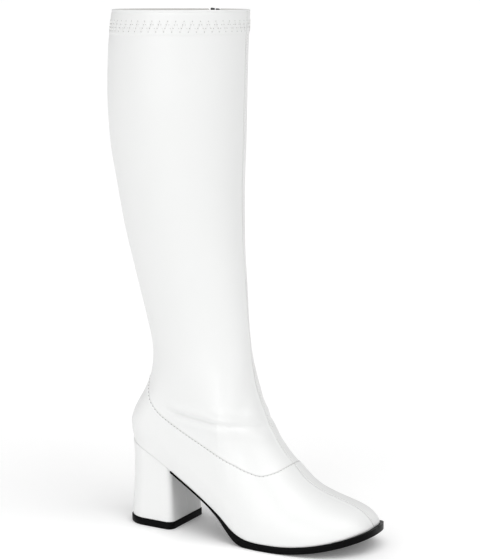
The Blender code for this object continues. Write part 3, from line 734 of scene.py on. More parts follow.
def upper_relief(rings, facts, settings):
    """How far the outside stands off the plain shape, and how much painted shade its low places get."""
    stations, heights = rings[:, :, 0], rings[:, :, 2]
    from_front, from_back, from_zip, sides, run = np.moveaxis(facts, 2, 0)
    slope = (seam_height(stations + 1) - seam_height(stations - 1)) / 2
    from_seam = (heights - seam_height(stations)) / np.sqrt(1 + slope**2)
    hem = COLLAR_HEIGHT - settings.hem_depth / MM
    relief = settings.panel_step / MM * (1 - smoothstep((from_seam + 0.55) / 0.6))
    relief += settings.hem_step / MM * smoothstep((heights - hem + 1.0) / 2.0)
    relief += mark(heights - COLLAR_HEIGHT + 2.2, RIM_ROLL)
    relief += mark(from_seam - 1.8, PANEL_SWELL)
    panel_dip = bell(from_seam - 0.1, PANEL_DIP[1])
    relief -= PANEL_DIP[0] * panel_dip

    ridge_form = smoothstep((4.2 - from_front) / 3.2) * (0.45 + 0.55 * smoothstep((from_seam - 2) / 14))
    front_dip = bell(from_front, FRONT_DIP[1])
    relief += settings.seam_ridge / MM * ridge_form - FRONT_DIP[0] * front_dip

    on_shaft = smoothstep((from_seam - 0.3) / 0.8)
    back_dip = bell(from_back, BACK_DIP[1])
    relief += mark(from_back - 1.1, BACK_WELT) - BACK_DIP[0] * back_dip

    low = feather(stations) + GAP
    foot_share = (heights - low) / np.maximum(seam_height(stations) - low, 1.0)
    open_zip = smoothstep((foot_share - ZIP_FOOT_SHARE + 0.05) / 0.05)
    across = abs(from_zip)
    relief += open_zip * mark(across - CHANNEL_HALF - 1.0, ZIP_WELT)
    inside = open_zip * (1 - smoothstep((across - CHANNEL_HALF + 0.15) / 0.4))
    relief = relief * (1 - inside) - CHANNEL_DEPTH * inside

    beside_seam = 0.25 + 0.75 * smoothstep((from_front - 2) / 14)
    relief += crease_relief(stations, heights, sides, from_zip) * beside_seam
    swell = settings.swell / MM * leg_share(heights) * (1 - inside)
    relief += swell * np.sin(heights / 29 + 0.8) * np.sin(run / 26 + heights / 90)
    relief += swell * 0.6 * np.sin(heights / 13 + run / 31 + 2)

    on_hem = smoothstep((heights - hem) / 1.5) * (1 - inside)
    pucker = np.cos(2 * np.pi * run / PUCKER_PITCH) * bell(heights - hem - 6.5, PUCKER_HALF)
    relief += PUCKER * on_hem * pucker
    # Painted shade in the dips of the panel seam, the centre seam and the back seam, and inside the zip
    # channel
    painted_groove_shade = np.maximum.reduce([
        0.2 * panel_dip, (0.9 - 0.3 * on_shaft) * front_dip, 0.3 * back_dip * np.maximum(on_shaft, 0.6),
        0.3 * inside * (across > 3),
    ])
    return relief, painted_groove_shade


def close_wall(outer, base, normals, settings):
    """Top fold, lining and turned lower edge that make the outside a wall with thickness."""
    wall = settings.wall / MM
    top_outer, top_base, top_normal = outer[-1], base[-1], normals[-1]
    inner_top = top_base - top_normal * wall
    fold = []
    for turn in np.linspace(0, math.pi, 9)[1:-1]:
        share = (1 - math.cos(turn)) / 2
        ring = top_outer * (1 - share) + inner_top * share
        ring[:, 2] = top_outer[:, 2] + 0.85 * math.sin(turn)
        fold.append(ring)
    numbers = list(range(len(base) - 1, 0, -3)) + [0]
    inner = []
    for k in numbers:
        height = base[k][:, 2]
        hem = 0.45 * smoothstep((height - COLLAR_HEIGHT + settings.hem_depth / MM) / 1.0)
        inner.append(base[k] - normals[k] * (wall + hem)[:, None])
    inner[-1][:, 2] = feather(inner[-1][:, 0]) + GAP
    return fold, inner


def zip_notch(heights, from_zip):
    """How far the rim drops between the two ends of the zip's tape."""
    across = 1 - smoothstep((abs(from_zip) - CHANNEL_HALF - 0.3) / 1.6)
    return NOTCH_DEPTH * across * smoothstep((heights - COLLAR_HEIGHT + 12) / 12)


def build_upper(context):
    settings = context.scene.boot_upper
    levels = upper_levels(settings)
    built = [full_ring(level) for level in levels]
    base = np.array([ring for ring, _, _ in built])
    facts = np.array([fact for _, fact, _ in built])
    girth = np.array([around for _, _, around in built])
    normals = ring_normals(base)
    relief, painted_groove_shade = upper_relief(base, facts, settings)
    outer = base + normals * relief[:, :, None]
    lip = outer[0] - normals[0] * 0.6
    lip[:, 2] = feather(lip[:, 0]) + 0.05
    outer[0][:, 2] = feather(outer[0][:, 0]) + GAP
    fold, inner = close_wall(outer, base, normals, settings)
    stack = np.array([lip, *outer, *fold, *inner])
    stack[:, :, 2] -= zip_notch(stack[:, :, 2], facts[-1][:, FROM_ZIP])
    size = stack.shape[1]
    # The lining, whose grey is partly painted shade, begins half way round the top fold
    lined = np.arange(len(stack)) > len(outer) + len(fold) // 2
    faces = tube_faces(len(stack), size, True)
    # The grey that the groove map mixes into the fabric is painted shade in the seams and the zip channel
    leather = grained_material(
        "white coated stretch fabric", settings.cover, darker(settings.cover, 0.975),
        1400.0, 0.02, (0.36, 0.46), coat=0.2, coat_rough=0.26, painted_groove_shade=(0.34, 0.34, 0.335),
    )
    # The lining colour is darkened partly as painted shade inside the shaft
    lining = woven_material("brushed knit lining", settings.lining, 1100.0, 700.0, 0.12, 0.85, 0.3)
    piece = add_piece("boot_upper", to_part(stack.reshape(-1, 3)), faces, [leather, lining])
    mesh = piece.data
    mesh.polygons.foreach_set("material_index", np.repeat(lined, size).astype(np.int32))
    # Painted shade per point of the outside, for the fabric's material
    painted_groove_shades = np.zeros((len(stack), size), np.float32)
    painted_groove_shades[1:1 + len(outer)] = painted_groove_shade
    attribute = mesh.attributes.new("painted_groove_shade", "FLOAT", "POINT")
    attribute.data.foreach_set("value", painted_groove_shades.ravel())
    nearest = np.clip(np.arange(len(stack)) - 1, 0, len(outer) - 1)
    run, closing = facts[nearest, :, RUN], girth[nearest]
    climb = np.concatenate(([0], np.cumsum(np.linalg.norm(np.diff(stack, axis=0), axis=2).mean(axis=1))))
    uv = np.dstack((run, np.repeat(climb[:, None], size, axis=1))).reshape(-1, 2) * MM
    write_uv(mesh, uv, size, closing * MM)
    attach(piece, "boot")
    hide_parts("upper")


# ---- sole, heel and sock


def outline_faces(loops, pairs, rear, tip):
    """Sides and caps of a solid from loops that run forward medially and back laterally."""
    size = 2 * pairs + rear + tip
    medial = [rear + i for i in range(pairs)]
    lateral = [size - 1 - i for i in range(pairs)]
    cap = [(medial[i], medial[i + 1], lateral[i + 1], lateral[i]) for i in range(pairs - 1)]
    if rear:
        cap.append((0, medial[0], lateral[0]))
    if tip:
        cap.append((medial[-1], rear + pairs, lateral[-1]))
    high = (loops - 1) * size
    faces = tube_faces(loops, size, False)
    faces += cap
    faces += [tuple(high + i for i in reversed(face)) for face in cap]
    return faces


def outline(stations, halves, centres, rear, tip):
    rows = []
    if rear:
        rows.append((stations[0], centres[0]))
    inside = range(int(rear), len(stations) - int(tip))
    rows += [(stations[i], centres[i] + halves[MEDIAL][i]) for i in inside]
    if tip:
        rows.append((stations[-1], centres[-1]))
    rows += [(stations[i], centres[i] - halves[LATERAL][i]) for i in reversed(inside)]
    return np.array(rows)


def toe_stations(tip, steps):
    turns = np.sin(math.pi / 2 * np.arange(steps + 1) / steps) ** (2 / TOE_POWER)
    return BALL_STATION + (tip - BALL_STATION) * turns


def build_outsole(context):
    settings = context.scene.boot_sole
    waist = np.linspace(BREAST_STATION, BALL_STATION, 90)[:-1]
    stations = np.concatenate((waist, toe_stations(SOLE_LENGTH, 64)))
    edge = settings.edge / MM
    profile = (
        (0.0, 0.0, 2.4 * edge), (0.0, 0.0, 1.5 * edge), (0.0, 0.15, 0.7 * edge), (0.0, 0.6, 0.15 * edge),
        (0.12, 0.9, 0.0), (0.5, 0.0, 0.0), (0.88, -0.7, 0.0), (1.0, -0.35, 0.12 * edge),
        (1.0, -0.1, 0.5 * edge), (1.0, 0.0, 1.1 * edge), (1.0, 0.0, 2.4 * edge),
    )
    loops = []
    for share, lift, inset in profile:
        halves = {}
        for side in (LATERAL, MEDIAL):
            halves[side] = sole_half(stations, side) * (1 - inset / last_half[side](stations))
        plan = outline(stations, halves, swing(stations), False, True)
        low, high = tread(plan[:, 0]), feather(plan[:, 0])
        thin = np.clip((high - low) / 6.0, 0.25, 1)
        heights = low + share * (high - low) + lift * edge * thin
        plan[plan[:, 0].argmax(), 0] -= inset
        loops.append(np.column_stack((plan, heights)))
    faces = outline_faces(len(loops), len(stations) - 1, False, True)
    rubber = grained_material(
        "polished black rubber", settings.rubber, (0.003, 0.003, 0.0032), 900.0, 0.03, (0.24, 0.34),
        specular=0.05,
    )
    piece = add_piece("sole_unit", to_part(np.vstack(loops)), faces, [rubber])
    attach(piece, "boot")
    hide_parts("outsole")


def heel_plan(rear, breast, half, inset=0.0):
    """D shape of the heel, as stations and half widths from the middle of its back."""
    turns = np.linspace(0, math.pi / 2, 25)
    corner = np.linspace(0, math.pi / 2, 11)
    back_round = rear + HEEL_BACK_CORNER * (1 - np.cos(turns))
    back_half = half - HEEL_BACK_CORNER * (1 - np.sin(turns))
    breast_round = breast - HEEL_CORNER * (1 - np.sin(corner))
    breast_half = half - HEEL_CORNER * (1 - np.cos(corner))
    centre = (rear + breast) / 2
    stations = np.concatenate(([rear], back_round, np.linspace(back_round[-1], breast_round[0], 8)[1:-1],
                               breast_round))
    halves = np.concatenate(([0.0], back_half, np.full(6, half), breast_half))
    stations = centre + (stations - centre) * (1 - 2 * inset / (breast - rear))
    return stations, halves * (1 - inset / half)


BLOCK_FOOT = LIFT_THICKNESS + GAP
block_curves = [table_curve(BLOCK, BLOCK_COLUMNS, "height", name) for name in BLOCK_COLUMNS[1:]]


def build_block(context):
    """The heel's block in its cover; gives back the cover's material."""
    cover = context.scene.boot_upper.cover
    low = BLOCK_FOOT
    rounding = ((0.0, 3.0), (0.0, 0.9), (0.004, 0.3), (0.012, 0.06))
    profile = list(rounding) + [(share, 0.0) for share in np.linspace(0.03, 0.97, 30)]
    profile += [(0.99, 0.02), (1.0, 0.12), (1.0, 0.5), (1.0, 3.0)]
    count = len(heel_plan(0.0, 50.0, 27.0)[0])
    loops = []
    for share, inset in profile:
        heights = np.full(count, low)
        for _ in range(6):
            plans = [heel_plan(*(curve(height) for curve in block_curves), inset) for height in heights]
            stations = np.array([plans[i][0][i] for i in range(count)])
            widths = np.array([plans[i][1][i] for i in range(count)])
            heights = low + share * (feather(stations) - low)
        halves = {LATERAL: widths, MEDIAL: widths}
        plan = outline(stations, halves, 0 * stations + HEEL_SHIFT, True, False)
        loops.append(np.column_stack((plan, np.concatenate((heights, heights[:0:-1])))))
    faces = outline_faces(len(loops), count - 1, True, False)
    leather = grained_material(
        "white heel cover", tuple(cover), darker(cover, 0.975),
        1400.0, 0.02, (0.32, 0.42), coat=0.25, coat_rough=0.2,
    )
    piece = add_piece("heel_cover", to_part(np.vstack(loops)), faces, [leather])
    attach(piece, "boot")
    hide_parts("heel_block")
    return leather


def build_breast_seam(leather, levels=24, around=8):
    """The fine raised line down the middle of the heel's breast."""
    breast = block_curves[1]
    rows = []
    for height in np.linspace(BLOCK_FOOT + 1.0, feather(BREAST_STATION) - 2.5, levels):
        for turn in np.linspace(0, 2 * math.pi, around + 1)[:-1]:
            station = breast(height) + BREAST_SEAM_RISE * math.cos(turn)
            rows.append((station, HEEL_SHIFT + BREAST_SEAM_HALF * math.sin(turn), height))
    last = (levels - 1) * around
    faces = tube_faces(levels, around, False)
    faces += [tuple(range(around)), tuple(last + i for i in range(around))]
    piece = add_piece("heel_breast_seam", to_part(rows), faces, [leather])
    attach(piece, "boot")


def build_top_lift(context):
    settings = context.scene.boot_sole
    edge = settings.edge / MM
    loops = []
    for height, inset in ((0.0, 2.5), (0.0, edge), (0.25 * edge, 0.3 * edge), (edge, 0.0),
                          (LIFT_THICKNESS - 0.6 * edge, 0.0), (LIFT_THICKNESS - 0.1, 0.25 * edge),
                          (LIFT_THICKNESS, 0.8 * edge), (LIFT_THICKNESS, 2.5)):
        stations, widths = heel_plan(LIFT_BACK, LIFT_BREAST, LIFT_HALF, inset)
        plan = outline(stations, {LATERAL: widths, MEDIAL: widths}, 0 * stations + HEEL_SHIFT, True, False)
        loops.append(np.column_stack((plan, np.full(len(plan), height))))
    faces = outline_faces(len(loops), len(stations) - 1, True, False)
    rubber = grained_material(
        "black top lift", settings.lift, (0.004, 0.004, 0.004), 800.0, 0.04, (0.35, 0.5), specular=0.05,
    )
    piece = add_piece("heel_top_lift", to_part(np.vstack(loops)), faces, [rubber])
    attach(piece, "boot")
    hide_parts("top_lift")


def build_heel(context):
    build_breast_seam(build_block(context))
    build_top_lift(context)


def build_sock(context):
    settings = context.scene.boot_sole
    level = foot_level(0)
    heel = solve(lambda s: back(level(s)) - s, -40.0, 60.0)
    rear = heel + HEEL_ROUND * (1 - np.cos(math.pi / 2 * np.arange(1, 24) / 24))
    middle = np.linspace(heel + HEEL_ROUND, BALL_STATION, 60)[:-1]
    stations = np.concatenate(([heel], rear, middle, toe_stations(TOE_STATION, 40)))
    middle_station = (heel + TOE_STATION) / 2
    loops = []
    edge = ((0.0, 0.0), (0.6, 0.5), (1.6, 1.0), (2.5, 1.3), (2.9, 1.9), (INSOLE_THICKNESS, 3.2))
    for rise, extra in edge:
        inset = INSOLE_INSET + extra
        halves = {}
        for side in (LATERAL, MEDIAL):
            halves[side] = upper_half(stations, level(stations), side)
            halves[side] = halves[side] * (1 - inset / last_half[side](stations))
        plan = outline(stations, halves, swing(stations), True, True)
        ahead = plan[:, 0] > middle_station
        shrink = np.where(ahead, inset + INSOLE_LEAN, inset) / (TOE_STATION - middle_station)
        plan[:, 0] = middle_station + (plan[:, 0] - middle_station) * (1 - shrink)
        loops.append(np.column_stack((plan, level(plan[:, 0]) + rise)))
    faces = outline_faces(len(loops), len(stations) - 2, True, True)
    cover = grained_material("insole cover", settings.sock, darker(settings.sock, 0.9),
                             1100.0, 0.05, (0.5, 0.66))
    piece = add_piece("insole_sock", to_part(np.vstack(loops)), faces, [cover])
    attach(piece, "boot")
    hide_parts("insole")


# ---- rows that Geometry Nodes fill


def new_row_group(name, values, others):
    """A Geometry Nodes group that takes a line of points, distances in metres and other values."""
    tree = bpy.data.node_groups.new(name, "GeometryNodeTree")
    new_socket(tree, "Geometry", "NodeSocketGeometry")
    for label, value in values:
        new_socket(tree, label, "NodeSocketFloat", value=value)
    for label, kind, value in others:
        new_socket(tree, label, kind, value=value)
    new_socket(tree, "Geometry", "NodeSocketGeometry", outgoing=True)
    return tree, add_node(tree, "NodeGroupInput").outputs


def named_vector(tree, name):
    return add_node(tree, "GeometryNodeInputNamedAttribute", {"Name": name},
                    data_type="FLOAT_VECTOR").outputs[0]


def scaled(tree, vector, factor):
    return add_node(tree, "ShaderNodeVectorMath", {0: vector, "Scale": factor},
                    operation="SCALE").outputs[0]


def side_to_side(tree, given, pitch, width):
    """The line in even steps, its outward direction, and a shift of its points to either side."""
    out = named_vector(tree, "out")
    curve = add_node(tree, "GeometryNodeMeshToCurve", {"Mesh": given["Geometry"]})
    even = add_node(tree, "GeometryNodeResampleCurve", {
        "Curve": curve.outputs[0], "Length": pitch,
    }, mode="LENGTH")
    tangent = add_node(tree, "GeometryNodeInputTangent")
    across = vector_maths(tree, "NORMALIZE", vector_maths(tree, "CROSS_PRODUCT", out, tangent.outputs[0]))
    number = add_node(tree, "GeometryNodeInputIndex")
    sign = maths(tree, "SUBTRACT", maths(tree, "MODULO", number.outputs[0], 2.0), 0.5)
    return even.outputs[0], out, scaled(tree, across, maths(tree, "MULTIPLY", sign, width))


def upright_and_turned(tree, out, direction, axis):
    """A rotation that stands on the surface, and one that also turns an axis along a direction."""
    upright = add_node(tree, "FunctionNodeAlignRotationToVector", {"Vector": out}, axis="Z").outputs[0]
    turned = add_node(tree, "FunctionNodeAlignRotationToVector", {
        "Rotation": upright, "Vector": direction,
    }, axis=axis, pivot_axis="Z").outputs[0]
    return upright, turned


def beads_on(tree, points, bead, rotation, *sizes):
    """Beads on points, each stretched to the three sizes."""
    size = add_node(tree, "ShaderNodeCombineXYZ", dict(zip("XYZ", sizes)))
    return add_node(tree, "GeometryNodeInstanceOnPoints", {
        "Points": points, "Instance": bead, "Rotation": rotation, "Scale": size.outputs[0],
    }).outputs[0]


def row_tree():
    """Stitches along a line of points that carry their outward direction in "out"."""
    tree = bpy.data.node_groups.get("stitch row")
    if tree:
        return tree
    tree, given = new_row_group("stitch row", (
        ("Pitch", 0.003), ("Width", 0.0), ("Thread", 0.0004), ("Fill", 0.85), ("Hole", 0.0006),
        ("Lift", 0.0001),
    ), (
        ("Steps", "NodeSocketInt", 1), ("Thread Material", "NodeSocketMaterial", None),
        ("Hole Material", "NodeSocketMaterial", None),
    ))
    even, out, aside = side_to_side(tree, given, given["Pitch"], given["Width"])
    zigzag = add_node(tree, "GeometryNodeSetPosition", {"Geometry": even, "Offset": aside})
    steps = add_node(tree, "GeometryNodeSubdivideCurve", {
        "Curve": zigzag.outputs[0], "Cuts": maths(tree, "SUBTRACT", given["Steps"], 1.0),
    })
    line = add_node(tree, "GeometryNodeCurveToMesh", {"Curve": steps.outputs[0]})
    ends = add_node(tree, "GeometryNodeInputMeshEdgeVertices")
    along = vector_maths(tree, "SUBTRACT", ends.outputs["Position 2"], ends.outputs["Position 1"])
    stored = add_node(tree, "GeometryNodeStoreNamedAttribute", {
        "Geometry": line.outputs[0], "Name": "along", "Value": along,
    }, data_type="FLOAT_VECTOR", domain="EDGE")
    middles = add_node(tree, "GeometryNodeMeshToPoints", {"Mesh": stored.outputs[0]}, mode="EDGES")
    lifted = add_node(tree, "GeometryNodeSetPosition", {
        "Geometry": middles.outputs[0], "Offset": scaled(tree, out, given["Lift"]),
    })
    direction = named_vector(tree, "along")
    upright, turned = upright_and_turned(tree, out, direction, "X")
    run = add_node(tree, "ShaderNodeVectorMath", {0: direction}, operation="LENGTH").outputs["Value"]
    bead = add_node(tree, "GeometryNodeMeshUVSphere", {"Segments": 8, "Rings": 5, "Radius": 0.5}).outputs[0]
    threads = beads_on(tree, lifted.outputs[0], bead, turned,
                       maths(tree, "MULTIPLY", run, given["Fill"]), given["Thread"], given["Thread"])
    holes = beads_on(tree, line.outputs[0], bead, upright,
                     given["Hole"], given["Hole"], maths(tree, "MULTIPLY", given["Hole"], 0.5))
    marked = add_node(tree, "GeometryNodeStoreNamedAttribute", {
        "Geometry": holes, "Name": "hole", "Value": True,
    }, data_type="BOOLEAN", domain="INSTANCE")
    both = add_node(tree, "GeometryNodeJoinGeometry")
    tree.links.new(threads, both.inputs[0])
    tree.links.new(marked.outputs[0], both.inputs[0])
    real = add_node(tree, "GeometryNodeRealizeInstances", {"Geometry": both.outputs[0]})
    thread = add_node(tree, "GeometryNodeSetMaterial", {
        "Geometry": real.outputs[0], "Material": given["Thread Material"],
    })
    is_hole = add_node(tree, "GeometryNodeInputNamedAttribute", {"Name": "hole"}, data_type="BOOLEAN")
    last = add_node(tree, "GeometryNodeSetMaterial", {
        "Geometry": thread.outputs[0], "Selection": is_hole.outputs[0], "Material": given["Hole Material"],
    })
    add_node(tree, "NodeGroupOutput", {"Geometry": last.outputs[0]})
    return tree


def coil_tree():
    """Interlocked turns of a zip coil along a line of points that carry "out"."""
    tree, given = new_row_group("zip coil", (
        ("Pitch", 0.00125), ("Reach", 0.001), ("Wire", 0.0008), ("Offset", 0.0007), ("Lift", 0.0002),
    ), (("Material", "NodeSocketMaterial", None),))
    half = maths(tree, "MULTIPLY", given["Pitch"], 0.5)
    even, out, aside = side_to_side(tree, given, half, given["Offset"])
    turns = add_node(tree, "GeometryNodeSetPosition", {
        "Geometry": even, "Offset": vector_maths(tree, "ADD", aside, scaled(tree, out, given["Lift"])),
    })
    points = add_node(tree, "GeometryNodeCurveToPoints", {"Curve": turns.outputs[0]}, mode="EVALUATED")
    turned = upright_and_turned(tree, out, points.outputs["Tangent"], "Y")[1]
    bead = add_node(tree, "GeometryNodeMeshUVSphere", {"Segments": 8, "Rings": 6, "Radius": 0.5}).outputs[0]
    beads = beads_on(tree, points.outputs[0], bead, turned,
                     maths(tree, "MULTIPLY", given["Reach"], 2.0), given["Wire"], given["Wire"])
    real = add_node(tree, "GeometryNodeRealizeInstances", {"Geometry": beads})
    last = add_node(tree, "GeometryNodeSetMaterial", {
        "Geometry": real.outputs[0], "Material": given["Material"],
    })
    add_node(tree, "NodeGroupOutput", {"Geometry": last.outputs[0]})
    return tree


def grow_row(name, lines, tree, values):
    """Fills lines of (points, outward directions) by a Geometry Nodes tree; the result is plain mesh."""
    vertices, edges, outs = [], [], []
    for points, directions in lines:
        start = len(vertices)
        vertices += [tuple(point) for point in points]
        outs += [tuple(direction) for direction in directions]
        edges += [(start + i, start + i + 1) for i in range(len(points) - 1)]
    mesh = bpy.data.meshes.new(name)
    mesh.from_pydata(vertices, edges, [])
    attribute = mesh.attributes.new("out", "FLOAT_VECTOR", "POINT")
    attribute.data.foreach_set("vector", np.array(outs, np.float32).ravel())
    piece = bpy.data.objects.new(name, mesh)
    bpy.context.scene.collection.objects.link(piece)
    modifier = piece.modifiers.new("row", "NODES")
    modifier.node_group = tree
    for item in tree.interface.items_tree:
        if item.item_type == "SOCKET" and item.in_out == "INPUT" and item.name in values:
            modifier[item.identifier] = values[item.name]
    graph = bpy.context.evaluated_depsgraph_get()
    result = bpy.data.meshes.new_from_object(piece.evaluated_get(graph))
    piece.modifiers.clear()
    piece.data = result
    result.name = name
    result.shade_smooth()
    return piece


def on_surface(tree, points, inset=0.0):
    """Points laid on the built upper, with the outward direction at each."""
    places, directions = [], []
    for point in to_part(points):
        place, normal, _, _ = tree.find_nearest(Vector(point))
        places.append(place - normal * inset * MM)
        directions.append(normal)
    return places, directions


def upper_surface():
    piece = bpy.data.objects["boot_upper"]
    return BVHTree.FromObject(piece, bpy.context.evaluated_depsgraph_get())


def zip_foot_level(drop=0.0):
    """Section at the lower end of the zip, or so many millimetres under it."""
    def level(station):
        return foot_level(ZIP_FOOT_SHARE)(station) - drop
    return level


def zip_points(levels, offset):
    rows = []
    for level in levels:
        points, arc = half_ring(level, MEDIAL)
        rows.append(at_arc(points, arc, np.array([ZIP_SHARE * arc[-1] + offset]))[0])
    return np.array(rows)


def zip_levels(top, drop=0.0):
    """Sections from the foot of the zip to a height near the collar."""
    levels = [zip_foot_level(drop)]
    levels += [foot_level(share) for share in np.linspace(ZIP_FOOT_SHARE, 1, 14)[1:]]
    levels += [ankle_level(share) for share in np.linspace(0, 1, 30)[1:-1]]
    levels += [leg_level(height) for height in np.linspace(ANKLE_HEIGHT, top, 60)]
    return levels


def thread_materials(settings):
    thread = grained_material("white polyester thread", settings.thread_colour,
                              darker(settings.thread_colour, 0.9), 5000.0, 0.05, (0.5, 0.6))
    # The needle holes' dark grey is painted shadow in the holes
    hole = grained_material("needle hole", settings.hole_shadow_colour,
                            darker(settings.hole_shadow_colour, 0.8), 2000.0, 0.02, (0.8, 0.9))
    return thread, hole


def build_stitching(context):
    settings = context.scene.boot_stitch
    surface = upper_surface()
    thread, hole = thread_materials(settings)
    common = {"Thread": settings.thread, "Hole": settings.hole, "Lift": ROW_LIFT * MM,
              "Thread Material": thread, "Hole Material": hole}
    below_edge = seam_level(-0.15)
    lines = []
    points, arc = half_ring(below_edge, LATERAL)
    run = np.arange(3.0, arc[-1] - 1.5, 1.0)
    lines.append(on_surface(surface, at_arc(points, arc, run)))
    points, arc = half_ring(below_edge, MEDIAL)
    middle = ZIP_SHARE * arc[-1]
    for first, last in ((3.0, middle - ZIP_CLEAR), (middle + ZIP_CLEAR, arc[-1] - 1.5)):
        lines.append(on_surface(surface, at_arc(points, arc, np.arange(first, last, 1.0))))
    rows = [("stitch_panel", lines, {
        "Pitch": settings.panel_pitch, "Width": 0.0, "Steps": 1, "Fill": 0.72,
        "Hole": settings.hole * 1.4})]

    centre = COLLAR_HEIGHT - COLLAR_ROW
    points, arc = half_ring(leg_level(centre), LATERAL)
    lateral = at_arc(points, arc, np.arange(0.0, arc[-1], 1.0))
    points, arc = half_ring(leg_level(centre), MEDIAL)
    middle = ZIP_SHARE * arc[-1]
    front_part = at_arc(points, arc, np.arange(0.0, middle - ZIP_CLEAR, 1.0))[::-1]
    back_part = at_arc(points, arc, np.arange(middle + ZIP_CLEAR, arc[-1], 1.0))[::-1]
    path = np.vstack((front_part[:-1], lateral, back_part))
    rows.append(("stitch_collar", [on_surface(surface, path)], {
        "Pitch": settings.collar_pitch / 2, "Width": settings.collar_width, "Steps": 3, "Fill": 0.9,
        "Thread": settings.thread * 1.4, "Hole": settings.hole * 1.3}))

    columns = []
    for level in front_levels():
        points, arc = half_ring(level, MEDIAL)
        columns.append(at_arc(points, arc, seam_turn(points[:1, 2]))[0])
    rows.append(("stitch_front_seam", [on_surface(surface, np.array(columns), 0.1)], {
        "Pitch": settings.seam_pitch / 2, "Width": settings.seam_width, "Steps": 1, "Fill": 0.9,
        "Thread": settings.thread, "Hole": settings.hole * 0.8}))

    levels = zip_levels(COLLAR_HEIGHT - 2.0)
    left = zip_points(levels, -ZIP_ROW)[::-1]
    right = zip_points(levels, ZIP_ROW)
    points, arc = half_ring(zip_foot_level(4.5), MEDIAL)
    middle = ZIP_SHARE * arc[-1]
    under = at_arc(points, arc, middle + np.linspace(-6.4, 6.4, 14))
    rows.append(("stitch_zip", [on_surface(surface, np.vstack((left, under, right)))], {
        "Pitch": settings.zip_pitch, "Width": 0.0, "Steps": 1, "Fill": 0.82}))
    for name, row_lines, values in rows:
        piece = grow_row(name, row_lines, row_tree(), {**common, **values})
        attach(piece, "boot")


def front_levels():
    """Sections down the centre seam, from the collar to the toe."""
    levels = [leg_level(height) for height in np.linspace(COLLAR_HEIGHT - 1.5, ANKLE_HEIGHT, 120)]
    levels += [ankle_level(share) for share in np.linspace(1, 0, 60)[1:]]
    levels += [foot_level(share) for share in np.linspace(1, 0.02, 90)[1:]]
    return levels


# ---- zip


SHARP_ANGLE = math.radians(35)


def zip_surface(levels, offsets):
    rows = []
    for level in levels:
        points, arc = half_ring(level, MEDIAL)
        rows.append(at_arc(points, arc, ZIP_SHARE * arc[-1] + np.array(offsets)))
    rows = np.array(rows)
    normals = np.cross(np.gradient(rows, axis=1), np.gradient(rows, axis=0))
    return rows, normals / np.linalg.norm(normals, axis=2, keepdims=True)


def zip_frame(out):
    """Placement at the slider: across the zip, up the leg, and out from the shaft."""
    levels = [leg_level(SLIDER_HEIGHT + step) for step in (-1, 0, 1)]
    rows, normals = zip_surface(levels, (-1.0, 0.0, 1.0))
    normal = Vector(normals[1][1])
    up = Vector(rows[2][1] - rows[0][1])
    across = up.cross(normal).normalized()
    up = normal.cross(across).normalized()
    place = Vector(to_part(rows[1][1])) + normal * out * MM
    turn = Matrix((across, up, normal)).transposed().to_4x4()
    return Matrix.Translation(place) @ turn


def build_tape(context):
    settings = context.scene.boot_zip
    offsets = (-CHAIN_HALF, -3.2, -1.9, -1.2, -0.35, 0.35, 1.2, 1.9, 3.2, CHAIN_HALF)
    section = [(i, GAP - CHANNEL_DEPTH) for i in range(len(offsets))]
    tops = (-0.15, 0.0, 0.02, 0.0, -0.2, -0.2, 0.0, 0.02, 0.0, -0.15)
    section += zip(reversed(range(len(offsets))), tops)
    levels = zip_levels(CHAIN_TOP)
    rows, normals = zip_surface(levels, offsets)
    points = [rows[k][i] + normals[k][i] * out for k in range(len(rows)) for i, out in section]
    size = len(section)
    faces = tube_faces(len(rows), size, False)
    last = (len(rows) - 1) * size
    faces += [tuple(range(size)), tuple(last + i for i in range(size))]
    cloth = woven_material("woven zip tape", tuple(settings.coil), 1400.0, 1000.0, 0.15, 0.7)
    piece = add_piece("zip_tape", to_part(points), faces, [cloth])
    climb = np.concatenate(([0], np.cumsum(np.linalg.norm(np.diff(rows[:, 4], axis=0), axis=1))))
    uv = [(offsets[i] * MM, climb[k] * MM) for k in range(len(rows)) for i, _ in section]
    write_uv(piece.data, np.array(uv))
    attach(piece, "boot")
    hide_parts("zip_chain")

    rows, normals = zip_surface(zip_levels(CHAIN_TOP - 1.0), (-1.0, 0.0, 1.0))
    line = ([Vector(point) for point in to_part(rows[3:, 1])], [Vector(n) for n in normals[3:, 1]])
    nylon = grained_material("white nylon coil", tuple(settings.coil), darker(settings.coil, 0.92),
                             2500.0, 0.02, (0.3, 0.4))
    piece = grow_row("zip_coil_turns", [line], coil_tree(), {
        "Pitch": settings.pitch, "Reach": settings.reach, "Wire": settings.wire, "Offset": COIL_OFFSET * MM,
        "Lift": COIL_LIFT * MM, "Material": nylon,
    })
    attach(piece, "boot")


def rounded_outline(points, radius, steps=6):
    """A closed outline with its corners rounded."""
    result = []
    count = len(points)
    for i in range(count):
        before, corner, after = (Vector(points[(i + j - 1) % count]) for j in range(3))
        to_before, to_after = before - corner, after - corner
        reach = min(radius, to_before.length / 2, to_after.length / 2)
        start = corner + to_before.normalized() * reach
        end = corner + to_after.normalized() * reach
        for step in range(steps + 1):
            t = step / steps
            result.append((start * (1 - t) ** 2 + corner * 2 * t * (1 - t) + end * t**2).to_tuple())
    return result


